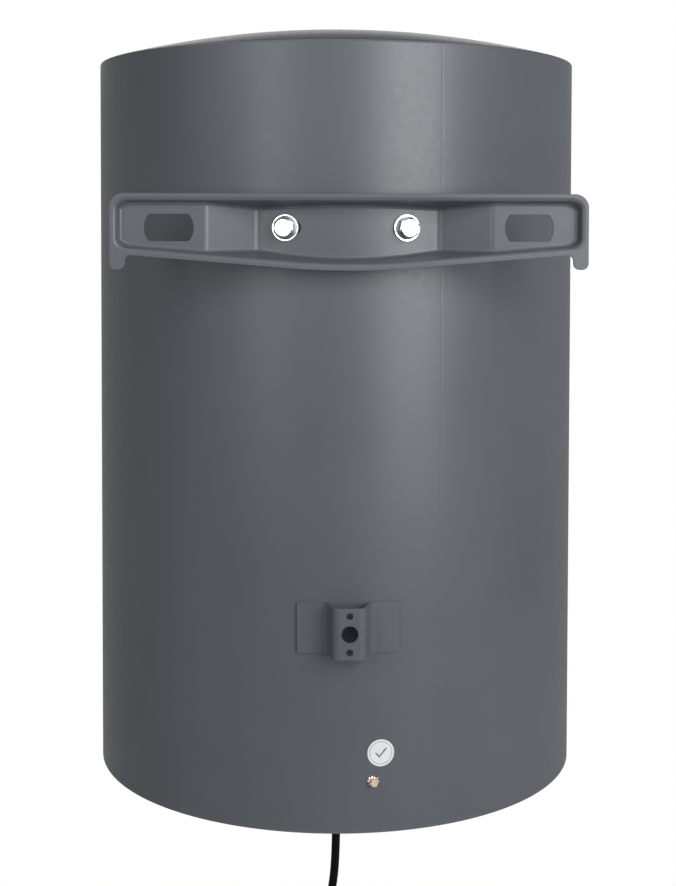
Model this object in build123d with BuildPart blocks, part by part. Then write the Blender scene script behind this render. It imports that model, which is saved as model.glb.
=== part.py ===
from build123d import *
import os
from math import asin, cos, degrees, pi, radians, sin, sqrt, tan

os.makedirs("parts", exist_ok=True)

# Wall-hung electric storage water heater, in millimetres.
# The origin is midway between the two wall slots, on the plane where the bracket's lip meets the wall.
# +Y points into the wall, +Z up, so the heater's front faces -Y.
# Angles round the heater count from the wall side (+Y) towards +X.

# Jacket, top cover and bottom pan
jacket_radius = 257.5
jacket_height = 752.2
jacket_sheet = 0.8
rim_above_slots = 175.7
wall_gap = 25.5
shell_clearance = 0.3
skin_clearance = 0.2
seam_angle = -20.3
seam_groove_width = 1.6
seam_groove_depth = 0.3
seam_lap_width = 14
seam_lap_sheet = 0.7
seam_bite = 0.3
cover_sheet = 0.8
dome_rise = 33.5
dome_corner = 4
skirt_depth = 14
pan_depth = 12
pan_corner = 3
pan_opening_radius = 70

# Tank with dished heads
tank_radius = 206
tank_wall = 2
tank_foot = 131.5
tank_headroom = 105.7
head_crown = 412
head_knuckle = 41.2
weld_gap = 0.1
foam_clearance = 0.3

# Flanged opening in the bottom head
neck_radius = 48
neck_wall = 4
neck_proud = 1
neck_drop = 26
flange_radius = 62
collar_thickness = 6
gasket_thickness = 3
plate_thickness = 4
flange_bolt_count = 4
flange_bolt_ring = 53
flange_bolt_radius = 4
flange_bolt_flats = 13
flange_bolt_head = 5.5
flange_bolt_tip = 5
hole_clearance = 0.2

# Heating element, anode and sensor pocket
element_spacing = 36
element_radius = 4
element_height = 270
element_terminal = 12
anode_offset = 26
anode_radius = 11
anode_length = 260
anode_stud_radius = 4
anode_standoff = 12
well_offset = -28
well_radius = 6
well_wall = 1
well_length = 240

# Pipes
pipe_spacing = 100
pipe_setback = 90
pipe_radius = 10.3
pipe_bore = 8
pipe_drop = 30
thread_radius = 10.48
thread_length = 22
inlet_rise = 30
outlet_top_gap = 30
pipe_seal = 0.3
collar_hole = 14
collar_neck_gap = 0.2
collar_neck_rise = 2
collar_flange_radius = 20
collar_flange_thickness = 3
foam_pipe_gap = 1
diffuser_wall = 2.5
diffuser_height = 20
diffuser_overlap = 8
diffuser_windows = 6
diffuser_window_width = 6
diffuser_window_height = 5

# Control cover under the bottom pan
cover_radius = 138
cover_flat = 58
cover_drop = 38
cover_wall = 2.5
cover_draft = 4
cover_corner = 20
cover_edge = 9
cover_seat_gap = 0.1
boss_radius = 6
boss_ring = 114
boss_angles = (90, 180, 270)
cover_screw_radius = 2.1
cover_screw_head_radius = 4.2
cover_screw_head = 3
cover_screw_tip = 4
cover_screw_recess = 30
well_floor_radius = 27
well_floor_depth = 9

# Controls inside the cover
thermostat_width = 40
thermostat_depth = 34
thermostat_height = 32
thermostat_corner = 4
stem_radius = 4
stem_length = 200
spindle_radius = 3
spindle_gap = 0.08
spindle_seat = 8
spindle_end_gap = 0.5
spindle_hole_gap = 1
knob_radius = 21
knob_height = 14
knob_gap = 0.6
knob_edge = 2
knob_flutes = 18
knob_flute_radius = 2.2
knob_socket = 9
cutout_offset = 40
cutout_radius = 11
cutout_height = 20
cutout_edge = 1
reset_stem_radius = 3
reset_head_radius = 5.5
reset_head_height = 7
reset_proud = 1.5
reset_travel = 2
reset_gap = 0.3
reset_seat = 8
lamp_offset = -98
lamp_radius = 4.5
lamp_bezel_radius = 6.5
lamp_bezel = 1.5
lamp_length = 18
terminal_offset_x = -84
terminal_offset_y = -12
terminal_width = 44
terminal_depth = 22
terminal_height = 18
terminal_ways = 4
terminal_screw_radius = 2.6
terminal_screw_depth = 5
lead_radius = 2
lead_bend = 6
lead_gap = 0.2
lead_level = 16
supply_core_radius = 3.5

# Wall bracket: a pressed tray with a flat lip all round
bracket_sheet = 2.3
bracket_half_width = 221.4
bracket_top = 31.5
bracket_dip = 42.15
bracket_taper = 4.716
bracket_corner = 13
bracket_dip_radius = 730
lip_width = 6.5
mouth_corner = 7
tray_draft = 9.5
tray_depth = 46
tray_fold = 4
lip_edge = 0.6
tray_floor_fold = 3.5
end_web_depth = 10.5
ramp_start = 133
saddle_angle = 19.2
web_bend = 9
tab_width = 14.3
tab_bottom = 38.7
tab_round = 6
tab_notch = 5
slot_spacing = 335
slot_length = 46
slot_flat = 36.6
slot_height = 25.5
slot_corner = 3

# Bolts that hold the bracket, and their anchors on the tank
bracket_bolt_angle = 12.65
bracket_bolt_offset = 0.6
bracket_bolt_turns = (17, 27)
bracket_bolt_radius = 6
bracket_bolt_flange = 12.7
bracket_bolt_flange_edge = 1.8
bracket_bolt_flange_round = 0.5
bracket_bolt_cone = 0.9
bracket_bolt_flats = 18
bracket_bolt_crown = 7.9
bracket_bolt_chamfer = 30
bracket_bolt_head = 11.5
bracket_bolt_length = 28
bracket_hole_gap = 0.75
adjust_inward = 15
adjust_outward = 12
jacket_hole_gap = 1
anchor_radius = 15
anchor_end_gap = 0.8
anchor_bore_depth = 36

# Lower spacer bracket
spacer_below_slots = 378.3
spacer_height = 48.5
spacer_sheet = 2
spacer_face = 29
spacer_slant = 6.6
spacer_wing_angle = 10.8
spacer_front_bend = 7.5
spacer_foot_bend = 8
spacer_wing_corner = 2
spacer_bore_radius = 8
spacer_hole_radius = 3.3
spacer_hole_spacing = 34.3

# Earth point and sticker
earth_angle = -5.4
earth_below_slots = 526.4
earth_screw_radius = 2
earth_head_flats = 7
earth_head_height = 6.4
earth_head_edge = 0.6
earth_screw_length = 13
earth_washer_radius = 5.5
earth_washer_thickness = 0.7
earth_washer_teeth = 10
earth_tooth_gap = 1.6
earth_tooth_depth = 1.6
earth_nut_flats = 8
earth_nut_height = 3.5
earth_pocket = 7
seat_gap = 0.1
sticker_angle = -7
sticker_below_slots = 499.5
sticker_radius = 13
sticker_thickness = 0.2
sticker_gap = 0.05

# Supply cord, 1.5 m of round three-core flex, with its put-away coil
cord_radius = 4.6
cord_setback = 33
relief_length = 36
relief_root_radius = 8.5
relief_tip_radius = 6.4
relief_flange_radius = 11
relief_flange = 2.5
relief_hole_gap = 0.2
relief_ribs = 6
relief_rib_pitch = 4.6
relief_groove_width = 1.6
relief_groove_depth = 1.1
coil_start_x = 12
coil_level = -808
coil_outer = 60
coil_gap = 0.6
coil_turns_in = 3
coil_turns_out = 4
tie_width = 12
tie_sheet = 1.4
tie_clearance = 0.5
tie_corner = 4
tail_length = 71
plug_relief_length = 26
plug_neck_radius = 6
plug_radius = 18.5
plug_body_length = 36
plug_shoulder = 10
plug_edge = 2
plug_pin_spacing = 19
plug_pin_radius = 2.4
plug_pin_length = 19
plug_pin_root = 6
earth_recess_width = 9
earth_recess_depth = 3
earth_recess_length = 21
earth_clip_width = 5
earth_clip_sheet = 0.8
earth_clip_length = 19
earth_clip_bow = 1.4

axis_y = -(jacket_radius + wall_gap)
jacket_top = rim_above_slots
jacket_bottom = jacket_top - jacket_height
jacket_inside = jacket_radius - jacket_sheet
skirt_radius = jacket_inside - shell_clearance
pan_top = jacket_bottom + pan_depth
pan_under = pan_top - cover_sheet
foam_radius = skirt_radius - cover_sheet - foam_clearance
tank_low = jacket_bottom + tank_foot
tank_high = jacket_top - tank_headroom
head_drop = sqrt((head_crown - head_knuckle) ** 2 - (tank_radius - head_knuckle) ** 2)
head_depth = head_crown - head_drop
head_angle = degrees(asin((tank_radius - head_knuckle) / (head_crown - head_knuckle)))
bottom_crown_z = tank_low + head_drop
bottom_apex = tank_low - head_depth
top_apex = tank_high + head_depth
collar_face = bottom_apex - neck_drop
plate_top = collar_face - gasket_thickness
plate_under = plate_top - plate_thickness
pipe_bottom = jacket_bottom - pipe_drop
cover_top = pan_under - cover_seat_gap
cover_floor = jacket_bottom - cover_drop
cover_height = cover_top - cover_floor
boss_places = [(boss_ring * sin(radians(a)), boss_ring * cos(radians(a))) for a in boss_angles]
bolt_angles = (bracket_bolt_offset - bracket_bolt_angle, bracket_bolt_offset + bracket_bolt_angle)
heater_axis = Axis((0, axis_y, 0), (0, 0, 1))


# Horizontal plane centred on the heater's axis
def level(z):
    return Plane((0, axis_y, z))


# Upright half-section plane through the heater's axis: local x is the radius, local y the height
def half_section(z=0):
    return Plane((0, axis_y, z), x_dir=(1, 0, 0), z_dir=(0, -1, 0))


# The same half-section with its height counted downwards
def half_section_down(z):
    return Plane((0, axis_y, z), x_dir=(1, 0, 0), z_dir=(0, 1, 0))


# Plane square to the radius at an angle round the heater, facing outwards with its local y up
def radial_plane(angle, z, radius):
    turn = radians(angle)
    outward = Vector(sin(turn), cos(turn), 0)
    origin = Vector(0, axis_y, z) + outward * radius
    return Plane(origin, x_dir=(-cos(turn), sin(turn), 0), z_dir=outward)


# The vertices nearest to the given points of a sketch
def corners(found, *points):
    return [found.sort_by_distance((x, y, 0))[0] for x, y in points]


# Height of the bottom head's wall at a radius, measured on its inner face
def bottom_head_inside(radius):
    return bottom_crown_z - sqrt((head_crown - tank_wall) ** 2 - radius**2)


# Round solid on an upright axis beside the heater's axis, between two heights
def round_bar(x, y, low, high, radius):
    with BuildPart() as bar:
        with BuildSketch(Plane((x, axis_y + y, low))):
            Circle(radius)
        extrude(amount=high - low)
    return bar.part


# Jacket: rolled steel sheet with a lock seam that shows as a fine groove
seam_lap_low = jacket_bottom + pan_depth + shell_clearance
seam_lap_high = jacket_top - skirt_depth - shell_clearance
seam_lap_depth = seam_lap_sheet + seam_bite
with BuildPart() as jacket:
    with BuildSketch(level(jacket_bottom)):
        Circle(jacket_radius)
        Circle(jacket_inside, mode=Mode.SUBTRACT)
        with PolarLocations(jacket_radius, 1, start_angle=90 - seam_angle):
            Rectangle(2 * seam_groove_depth, seam_groove_width, mode=Mode.SUBTRACT)
    extrude(amount=jacket_height)
    with BuildSketch(level(seam_lap_low)):
        with PolarLocations(jacket_inside + seam_bite - seam_lap_depth / 2, 1, start_angle=90 - seam_angle):
            Rectangle(seam_lap_depth, seam_lap_width)
    extrude(amount=seam_lap_high - seam_lap_low)
    for angle in bolt_angles:
        with BuildSketch(radial_plane(angle, 0, jacket_radius + jacket_sheet)):
            Circle(bracket_bolt_radius + jacket_hole_gap)
        extrude(amount=-4 * jacket_sheet, mode=Mode.SUBTRACT)
    with BuildSketch(radial_plane(earth_angle, -earth_below_slots, jacket_radius + jacket_sheet)):
        Circle(earth_screw_radius + hole_clearance)
    extrude(amount=-4 * jacket_sheet, mode=Mode.SUBTRACT)

# Top cover: a dished lid with a skirt that drops inside the jacket's rim
dome_radius = (skirt_radius**2 + dome_rise**2) / (2 * dome_rise)
dome_centre = jacket_top + dome_rise - dome_radius
dome_angle = degrees(asin(skirt_radius / dome_radius))
dome_inside = dome_radius - cover_sheet
skirt_inside = skirt_radius - cover_sheet
dome_inside_edge = dome_centre + sqrt(dome_inside**2 - skirt_inside**2)
dome_inside_angle = degrees(asin(skirt_inside / dome_inside))
with BuildPart() as top_cover:
    with BuildSketch(half_section()):
        with BuildLine():
            CenterArc((0, dome_centre), dome_radius, 90, -dome_angle)
            Line((skirt_radius, jacket_top), (skirt_radius, jacket_top - skirt_depth))
            Line((skirt_radius, jacket_top - skirt_depth), (skirt_inside, jacket_top - skirt_depth))
            Line((skirt_inside, jacket_top - skirt_depth), (skirt_inside, dome_inside_edge))
            CenterArc((0, dome_centre), dome_inside, 90 - dome_inside_angle, dome_inside_angle)
            Line((0, dome_centre + dome_inside), (0, dome_centre + dome_radius))
        make_face()
        fillet(corners(vertices(), (skirt_radius, jacket_top)), dome_corner)
        fillet(corners(vertices(), (skirt_inside, dome_inside_edge)), dome_corner - cover_sheet)
    revolve(axis=heater_axis)

# Bottom pan: a recessed disc with an opening for the flange and its controls
with BuildPart() as bottom_pan:
    with BuildSketch(half_section()):
        with BuildLine():
            Polyline(
                (pan_opening_radius, pan_top),
                (skirt_radius, pan_top),
                (skirt_radius, jacket_bottom),
                (skirt_inside, jacket_bottom),
                (skirt_inside, pan_under),
                (pan_opening_radius, pan_under),
                close=True,
            )
        make_face()
        fillet(corners(vertices(), (skirt_radius, pan_top)), pan_corner)
        fillet(corners(vertices(), (skirt_inside, pan_under)), pan_corner - cover_sheet)
    revolve(axis=heater_axis)
    with BuildSketch(level(pan_under)):
        with Locations((-pipe_spacing / 2, pipe_setback), (pipe_spacing / 2, pipe_setback)):
            Circle(collar_hole)
        with Locations(*boss_places):
            Circle(cover_screw_radius + hole_clearance)
    extrude(amount=cover_sheet, mode=Mode.SUBTRACT)


# Outline of a dished head's wall over its weld line, for a wall between two offsets from the tank's skin
def head_outline(outer, inner):
    crown_centre = (0, -head_drop)
    knuckle_centre = (tank_radius - head_knuckle, 0)
    with BuildSketch() as head:
        with BuildLine():
            CenterArc(crown_centre, head_crown - outer, 90, -head_angle)
            CenterArc(knuckle_centre, head_knuckle - outer, 90 - head_angle, head_angle - 90)
            Line((tank_radius - outer, 0), (tank_radius - inner, 0))
            CenterArc(knuckle_centre, head_knuckle - inner, 0, 90 - head_angle)
            CenterArc(crown_centre, head_crown - inner, 90 - head_angle, head_angle)
            Line((0, head_depth - inner), (0, head_depth - outer))
        make_face()
    return head.sketch


# Tank: a rolled shell between two dished heads
with BuildPart() as tank_shell:
    with BuildSketch(level(tank_low)):
        Circle(tank_radius)
        Circle(tank_radius - tank_wall, mode=Mode.SUBTRACT)
    extrude(amount=tank_high - tank_low)

with BuildPart() as tank_top_head:
    with BuildSketch(half_section(tank_high)):
        add(head_outline(0, tank_wall))
    revolve(axis=heater_axis)

with BuildPart() as tank_bottom_head:
    with BuildSketch(half_section_down(tank_low)):
        add(head_outline(0, tank_wall))
    revolve(axis=heater_axis)
    with BuildSketch(level(bottom_apex)):
        Circle(neck_radius + weld_gap)
        with Locations((-pipe_spacing / 2, pipe_setback), (pipe_spacing / 2, pipe_setback)):
            Circle(pipe_radius + weld_gap)
    extrude(amount=head_depth, mode=Mode.SUBTRACT)

# Neck welded into the bottom head, with the collar that the flange plate bolts to
neck_top = bottom_head_inside(neck_radius) + neck_proud
neck_inside = neck_radius - neck_wall
with BuildPart() as flange_neck:
    with BuildSketch(half_section()):
        with BuildLine():
            Polyline(
                (neck_inside, neck_top),
                (neck_radius, neck_top),
                (neck_radius, collar_face + collar_thickness),
                (flange_radius, collar_face + collar_thickness),
                (flange_radius, collar_face),
                (neck_inside, collar_face),
                close=True,
            )
        make_face()
    revolve(axis=heater_axis)
    with BuildSketch(level(collar_face)):
        with PolarLocations(flange_bolt_ring, flange_bolt_count, start_angle=45):
            Circle(flange_bolt_radius + hole_clearance)
    extrude(amount=collar_thickness, mode=Mode.SUBTRACT)

with BuildPart() as flange_gasket:
    with BuildSketch(level(plate_top)):
        Circle(flange_radius)
        Circle(neck_inside, mode=Mode.SUBTRACT)
        with PolarLocations(flange_bolt_ring, flange_bolt_count, start_angle=45):
            Circle(flange_bolt_radius + hole_clearance, mode=Mode.SUBTRACT)
    extrude(amount=gasket_thickness)

with BuildPart() as flange_plate:
    with BuildSketch(level(plate_under)):
        Circle(flange_radius)
        with PolarLocations(flange_bolt_ring, flange_bolt_count, start_angle=45):
            Circle(flange_bolt_radius + hole_clearance, mode=Mode.SUBTRACT)
        with Locations((-element_spacing / 2, 0), (element_spacing / 2, 0)):
            Circle(element_radius + weld_gap, mode=Mode.SUBTRACT)
        with Locations((0, anode_offset)):
            Circle(anode_stud_radius + weld_gap, mode=Mode.SUBTRACT)
        with Locations((0, well_offset)):
            Circle(well_radius + weld_gap, mode=Mode.SUBTRACT)
    extrude(amount=plate_thickness)

with BuildPart() as flange_bolts:
    with BuildSketch(level(plate_under)):
        with PolarLocations(flange_bolt_ring, flange_bolt_count, start_angle=45):
            RegularPolygon(flange_bolt_flats / 2, 6, major_radius=False)
    extrude(amount=-flange_bolt_head)
    with BuildSketch(level(plate_under)):
        with PolarLocations(flange_bolt_ring, flange_bolt_count, start_angle=45):
            Circle(flange_bolt_radius)
    extrude(amount=plate_thickness + gasket_thickness + collar_thickness + flange_bolt_tip)

# Sheathed heating element: one hairpin through the flange plate, with a terminal on each leg
element_low = plate_under - element_terminal
element_high = plate_top + element_height
element_bend = element_spacing / 2
with BuildPart() as heating_element:
    with BuildLine():
        Line((-element_bend, axis_y, element_low), (-element_bend, axis_y, element_high))
        ThreePointArc(
            (-element_bend, axis_y, element_high),
            (0, axis_y, element_high + element_bend),
            (element_bend, axis_y, element_high),
        )
        Line((element_bend, axis_y, element_high), (element_bend, axis_y, element_low))
    with BuildSketch(Plane((-element_bend, axis_y, element_low))):
        Circle(element_radius)
    sweep()

# Anode rod on its steel stud, and the closed pocket for the thermostat's sensor
with BuildPart() as anode_rod:
    with BuildSketch(Plane((0, axis_y + anode_offset, plate_under))):
        Circle(anode_stud_radius)
    extrude(amount=plate_thickness + anode_standoff)
    with BuildSketch(Plane((0, axis_y + anode_offset, plate_top + anode_standoff))):
        Circle(anode_radius)
    extrude(amount=anode_length)

with BuildPart() as thermowell:
    with BuildSketch(Plane((0, axis_y + well_offset, plate_under))):
        Circle(well_radius)
    extrude(amount=plate_thickness + well_length)
    with BuildSketch(Plane((0, axis_y + well_offset, plate_under))):
        Circle(well_radius - well_wall)
    extrude(amount=plate_thickness + well_length - well_wall, mode=Mode.SUBTRACT)


# Water pipe through the bottom head, from a height inside the tank down to its threaded end
def water_pipe(x, high):
    with BuildPart() as pipe:
        with BuildSketch(Plane((x, axis_y + pipe_setback, pipe_bottom))):
            Circle(pipe_radius)
        extrude(amount=high - pipe_bottom)
        with BuildSketch(Plane((x, axis_y + pipe_setback, pipe_bottom))):
            Circle(thread_radius)
        extrude(amount=thread_length)
        with BuildSketch(Plane((x, axis_y + pipe_setback, pipe_bottom))):
            Circle(pipe_bore)
        extrude(amount=high - pipe_bottom, mode=Mode.SUBTRACT)
    return pipe


# Coloured collar that lines a pipe's hole in the bottom pan
def pipe_collar(x):
    with BuildPart() as collar:
        with BuildSketch(Plane((x, axis_y + pipe_setback, pan_under))):
            Circle(collar_flange_radius)
            Circle(pipe_radius + pipe_seal, mode=Mode.SUBTRACT)
        extrude(amount=-collar_flange_thickness)
        fillet(collar.edges().group_by(Axis.Z)[0].sort_by(SortBy.LENGTH)[-1], collar_flange_thickness / 2)
        with BuildSketch(Plane((x, axis_y + pipe_setback, pan_under))):
            Circle(collar_hole - collar_neck_gap)
            Circle(pipe_radius + pipe_seal, mode=Mode.SUBTRACT)
        extrude(amount=cover_sheet + collar_neck_rise)
    return collar


cold_x = pipe_spacing / 2
hot_x = -pipe_spacing / 2
inlet_top = bottom_apex + inlet_rise
outlet_top = top_apex - tank_wall - outlet_top_gap
cold_inlet_pipe = water_pipe(cold_x, inlet_top)
hot_outlet_pipe = water_pipe(hot_x, outlet_top)
cold_collar = pipe_collar(cold_x)
hot_collar = pipe_collar(hot_x)

# Diffuser cap that turns the cold inflow sideways
diffuser_bore = pipe_radius + weld_gap
diffuser_low = inlet_top - diffuser_overlap
window_low = inlet_top + diffuser_wall
with BuildPart() as inlet_diffuser:
    with BuildSketch(Plane((cold_x, axis_y + pipe_setback, diffuser_low))):
        Circle(diffuser_bore + diffuser_wall)
    extrude(amount=diffuser_height)
    with BuildSketch(Plane((cold_x, axis_y + pipe_setback, diffuser_low))):
        Circle(diffuser_bore)
    extrude(amount=diffuser_height - diffuser_wall, mode=Mode.SUBTRACT)
    with BuildSketch(Plane((cold_x, axis_y + pipe_setback, window_low))):
        with PolarLocations(diffuser_bore + diffuser_wall / 2, diffuser_windows):
            Rectangle(2 * diffuser_wall, diffuser_window_width)
    extrude(amount=diffuser_window_height, mode=Mode.SUBTRACT)

# Foam between the tank and the jacket, with its hollow shaped by the tank
foam_low = pan_top + foam_clearance
foam_edge = jacket_top - dome_corner
foam_apex = jacket_top + dome_rise - cover_sheet - foam_clearance
foam_rise = foam_apex - foam_edge
foam_dome_radius = (foam_radius**2 + foam_rise**2) / (2 * foam_rise)
foam_dome_angle = degrees(asin(foam_radius / foam_dome_radius))
knuckle_ring = tank_radius - head_knuckle
hollow_crown = head_crown + foam_clearance
hollow_knuckle = head_knuckle + foam_clearance
with BuildPart() as insulation_foam:
    with BuildSketch(half_section()):
        with BuildLine():
            Line((0, foam_apex), (0, foam_low))
            Line((0, foam_low), (foam_radius, foam_low))
            Line((foam_radius, foam_low), (foam_radius, foam_edge))
            CenterArc((0, foam_apex - foam_dome_radius), foam_dome_radius, 90, -foam_dome_angle)
        make_face()
    revolve(axis=heater_axis)
    with BuildSketch(half_section()):
        with BuildLine():
            CenterArc((0, tank_high - head_drop), hollow_crown, 90, -head_angle)
            CenterArc((knuckle_ring, tank_high), hollow_knuckle, 90 - head_angle, head_angle - 90)
            Line((tank_radius + foam_clearance, tank_high), (tank_radius + foam_clearance, tank_low))
            CenterArc((knuckle_ring, tank_low), hollow_knuckle, 0, head_angle - 90)
            CenterArc((0, bottom_crown_z), hollow_crown, head_angle - 90, -head_angle)
            Line((0, bottom_apex - foam_clearance), (0, top_apex + foam_clearance))
        make_face()
    revolve(axis=heater_axis, mode=Mode.SUBTRACT)
    add(round_bar(0, 0, foam_low, tank_low, pan_opening_radius), mode=Mode.SUBTRACT)
    for x in (cold_x, hot_x):
        add(round_bar(x, pipe_setback, foam_low, tank_low, collar_hole + foam_pipe_gap), mode=Mode.SUBTRACT)
    for x, y in boss_places:
        tip_high = pan_top + 2 * cover_screw_tip
        add(round_bar(x, y, foam_low, tip_high, 2 * cover_screw_radius), mode=Mode.SUBTRACT)
    for angle in bolt_angles:
        with BuildSketch(radial_plane(angle, 0, tank_radius - anchor_radius)):
            Circle(anchor_radius + foam_clearance)
        extrude(amount=jacket_radius - tank_radius + anchor_radius, mode=Mode.SUBTRACT)
    with BuildSketch(radial_plane(earth_angle, -earth_below_slots, jacket_radius)):
        Circle(earth_pocket)
    extrude(amount=-2 * earth_screw_length, mode=Mode.SUBTRACT)

# Anchors on the tank that take the bracket's bolts
with BuildPart() as bracket_anchors:
    for angle in bolt_angles:
        with BuildSketch(radial_plane(angle, 0, jacket_inside - anchor_end_gap)):
            Circle(anchor_radius)
        extrude(amount=-(jacket_inside - tank_radius + anchor_radius))
    with BuildSketch(level(-2 * anchor_radius)):
        Circle(tank_radius + weld_gap)
    extrude(amount=4 * anchor_radius, mode=Mode.SUBTRACT)
    for angle in bolt_angles:
        with BuildSketch(radial_plane(angle, 0, jacket_inside - anchor_end_gap)):
            Circle(bracket_bolt_radius + weld_gap)
        extrude(amount=-anchor_bore_depth, mode=Mode.SUBTRACT)

# Wall bracket: the space in front of its pressed floor, with end webs, ramps and a saddle round the jacket
saddle_radius = jacket_radius + skin_clearance + bracket_sheet
saddle_x = saddle_radius * sin(radians(saddle_angle))
saddle_y = saddle_radius * cos(radians(saddle_angle)) + axis_y
beyond = bracket_half_width + tray_depth
with BuildSketch() as floor_front:
    with BuildLine():
        Polyline(
            (-saddle_x, saddle_y),
            (-ramp_start, -end_web_depth),
            (-beyond, -end_web_depth),
            (-beyond, tray_depth),
            (beyond, tray_depth),
            (beyond, -end_web_depth),
            (ramp_start, -end_web_depth),
            (saddle_x, saddle_y),
        )
        ThreePointArc((saddle_x, saddle_y), (0, axis_y + saddle_radius), (-saddle_x, saddle_y))
    make_face()
    fillet(corners(vertices(), (-ramp_start, -end_web_depth), (ramp_start, -end_web_depth)), web_bend)
    fillet(corners(vertices(), (-saddle_x, saddle_y), (saddle_x, saddle_y)), web_bend)
with BuildSketch() as floor_back:
    add(floor_front.sketch)
    offset(amount=bracket_sheet, kind=Kind.INTERSECTION)

# The lip's outline without its tabs: straight top, lower edges that dip to a rounded middle
lip_end = bracket_half_width * tan(radians(bracket_taper)) - bracket_dip
with BuildSketch() as lip_outline:
    with BuildLine():
        Polyline(
            (-bracket_half_width, bracket_top),
            (bracket_half_width, bracket_top),
            (bracket_half_width, lip_end),
            (0, -bracket_dip),
            (-bracket_half_width, lip_end),
            close=True,
        )
    make_face()
    top_pair = ((-bracket_half_width, bracket_top), (bracket_half_width, bracket_top))
    fillet(corners(vertices(), *top_pair), bracket_corner)
    fillet(corners(vertices(), (0, -bracket_dip)), bracket_dip_radius)


# The tray's outline at the lip, as far inside the lip's edge as asked, with its lower corners rounded
def tray_outline(inset, corner):
    with BuildSketch() as tray:
        add(lip_outline.sketch)
        offset(amount=-inset, kind=Kind.INTERSECTION)
        low_pair = ((-bracket_half_width, -bracket_top), (bracket_half_width, -bracket_top))
        fillet(corners(tray.vertices(), *low_pair), corner)
    return tray.sketch


# One side of the pressed tray as a solid plug: drafted walls, the floor's shape and rounded folds
def tray_plug(inset, corner, floor, fold):
    with BuildPart() as plug:
        with BuildSketch(Plane.XZ):
            add(tray_outline(inset, corner))
        extrude(amount=tray_depth, taper=tray_draft)
        with BuildSketch(Plane.XY.offset(-2 * bracket_dip)):
            add(floor)
        extrude(amount=4 * bracket_dip, mode=Mode.INTERSECT)
        rim = plug.faces().sort_by(Axis.Y)[-1]
        walls = plug.faces().filter_by(lambda f: abs(f.normal_at().Y) < sin(radians(2 * tray_draft)))
        fold_edges = [e for e in plug.edges() if len([w for w in walls if e in w.edges()]) == 1]
        fold_edges = [e for e in fold_edges if e not in rim.edges()]
        fillet(fold_edges, fold)
    return plug.part


with BuildSketch() as wall_slot:
    with BuildLine():
        Line((-slot_flat / 2, slot_height / 2), (slot_flat / 2, slot_height / 2))
        ThreePointArc(
            (slot_flat / 2, slot_height / 2), (slot_length / 2, 0), (slot_flat / 2, -slot_height / 2)
        )
        Line((slot_flat / 2, -slot_height / 2), (-slot_flat / 2, -slot_height / 2))
        ThreePointArc(
            (-slot_flat / 2, -slot_height / 2), (-slot_length / 2, 0), (-slot_flat / 2, slot_height / 2)
        )
    make_face()
    fillet(vertices(), slot_corner)

outer_inset = lip_width - bracket_sheet
outer_corner = mouth_corner + bracket_sheet
outer_plug = tray_plug(outer_inset, outer_corner, floor_back.sketch, tray_floor_fold + bracket_sheet)
inner_plug = tray_plug(lip_width, mouth_corner, floor_front.sketch, tray_floor_fold)
tab_inside = bracket_half_width - tab_width
tab_root = tab_inside * tan(radians(bracket_taper)) - bracket_dip
with BuildPart() as wall_bracket:
    with BuildSketch(Plane.XZ):
        add(lip_outline.sketch)
        for side in (-1, 1):
            with BuildLine():
                Polyline(
                    (side * bracket_half_width, 0),
                    (side * bracket_half_width, -tab_bottom),
                    (side * tab_inside, -tab_bottom),
                    (side * tab_inside, 0),
                    close=True,
                )
            make_face()
        for side in (-1, 1):
            fillet(corners(vertices(), (side * tab_inside, tab_root)), tab_notch)
            tips = ((side * tab_inside, -tab_bottom), (side * bracket_half_width, -tab_bottom))
            fillet(corners(vertices(), *tips), tab_round)
    extrude(amount=bracket_sheet)
    add(outer_plug)
    add(inner_plug, mode=Mode.SUBTRACT)
    fillet(wall_bracket.faces().sort_by(Axis.Y)[-1].inner_wires()[0].edges(), tray_fold)
    fillet(wall_bracket.faces().sort_by(Axis.Y)[-1].outer_wire().edges(), lip_edge)
    with BuildSketch(Plane.XZ):
        with Locations((-slot_spacing / 2, 0), (slot_spacing / 2, 0)):
            add(wall_slot.sketch)
    extrude(amount=2 * end_web_depth, mode=Mode.SUBTRACT)
    with BuildSketch(radial_plane(bolt_angles[0], 0, saddle_radius + bracket_sheet)):
        Circle(bracket_bolt_radius + bracket_hole_gap)
    extrude(amount=-3 * bracket_sheet, mode=Mode.SUBTRACT)
    with BuildSketch(radial_plane(bolt_angles[1], 0, saddle_radius + bracket_sheet)):
        with Locations(((adjust_inward - adjust_outward) / 2, 0)):
            SlotOverall(adjust_inward + adjust_outward, 2 * (bracket_bolt_radius + bracket_hole_gap))
    extrude(amount=-3 * bracket_sheet, mode=Mode.SUBTRACT)

# Hex flange bolt on the saddle, its head chamfered to a round crown and turned as it was tightened
bolt_seat = saddle_radius + sticker_gap
cone_top = bracket_bolt_flange_edge + bracket_bolt_cone
hex_corner = bracket_bolt_flats / 2 / cos(radians(30))
chamfer_drop = (hex_corner - bracket_bolt_crown) * tan(radians(bracket_bolt_chamfer))


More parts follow.
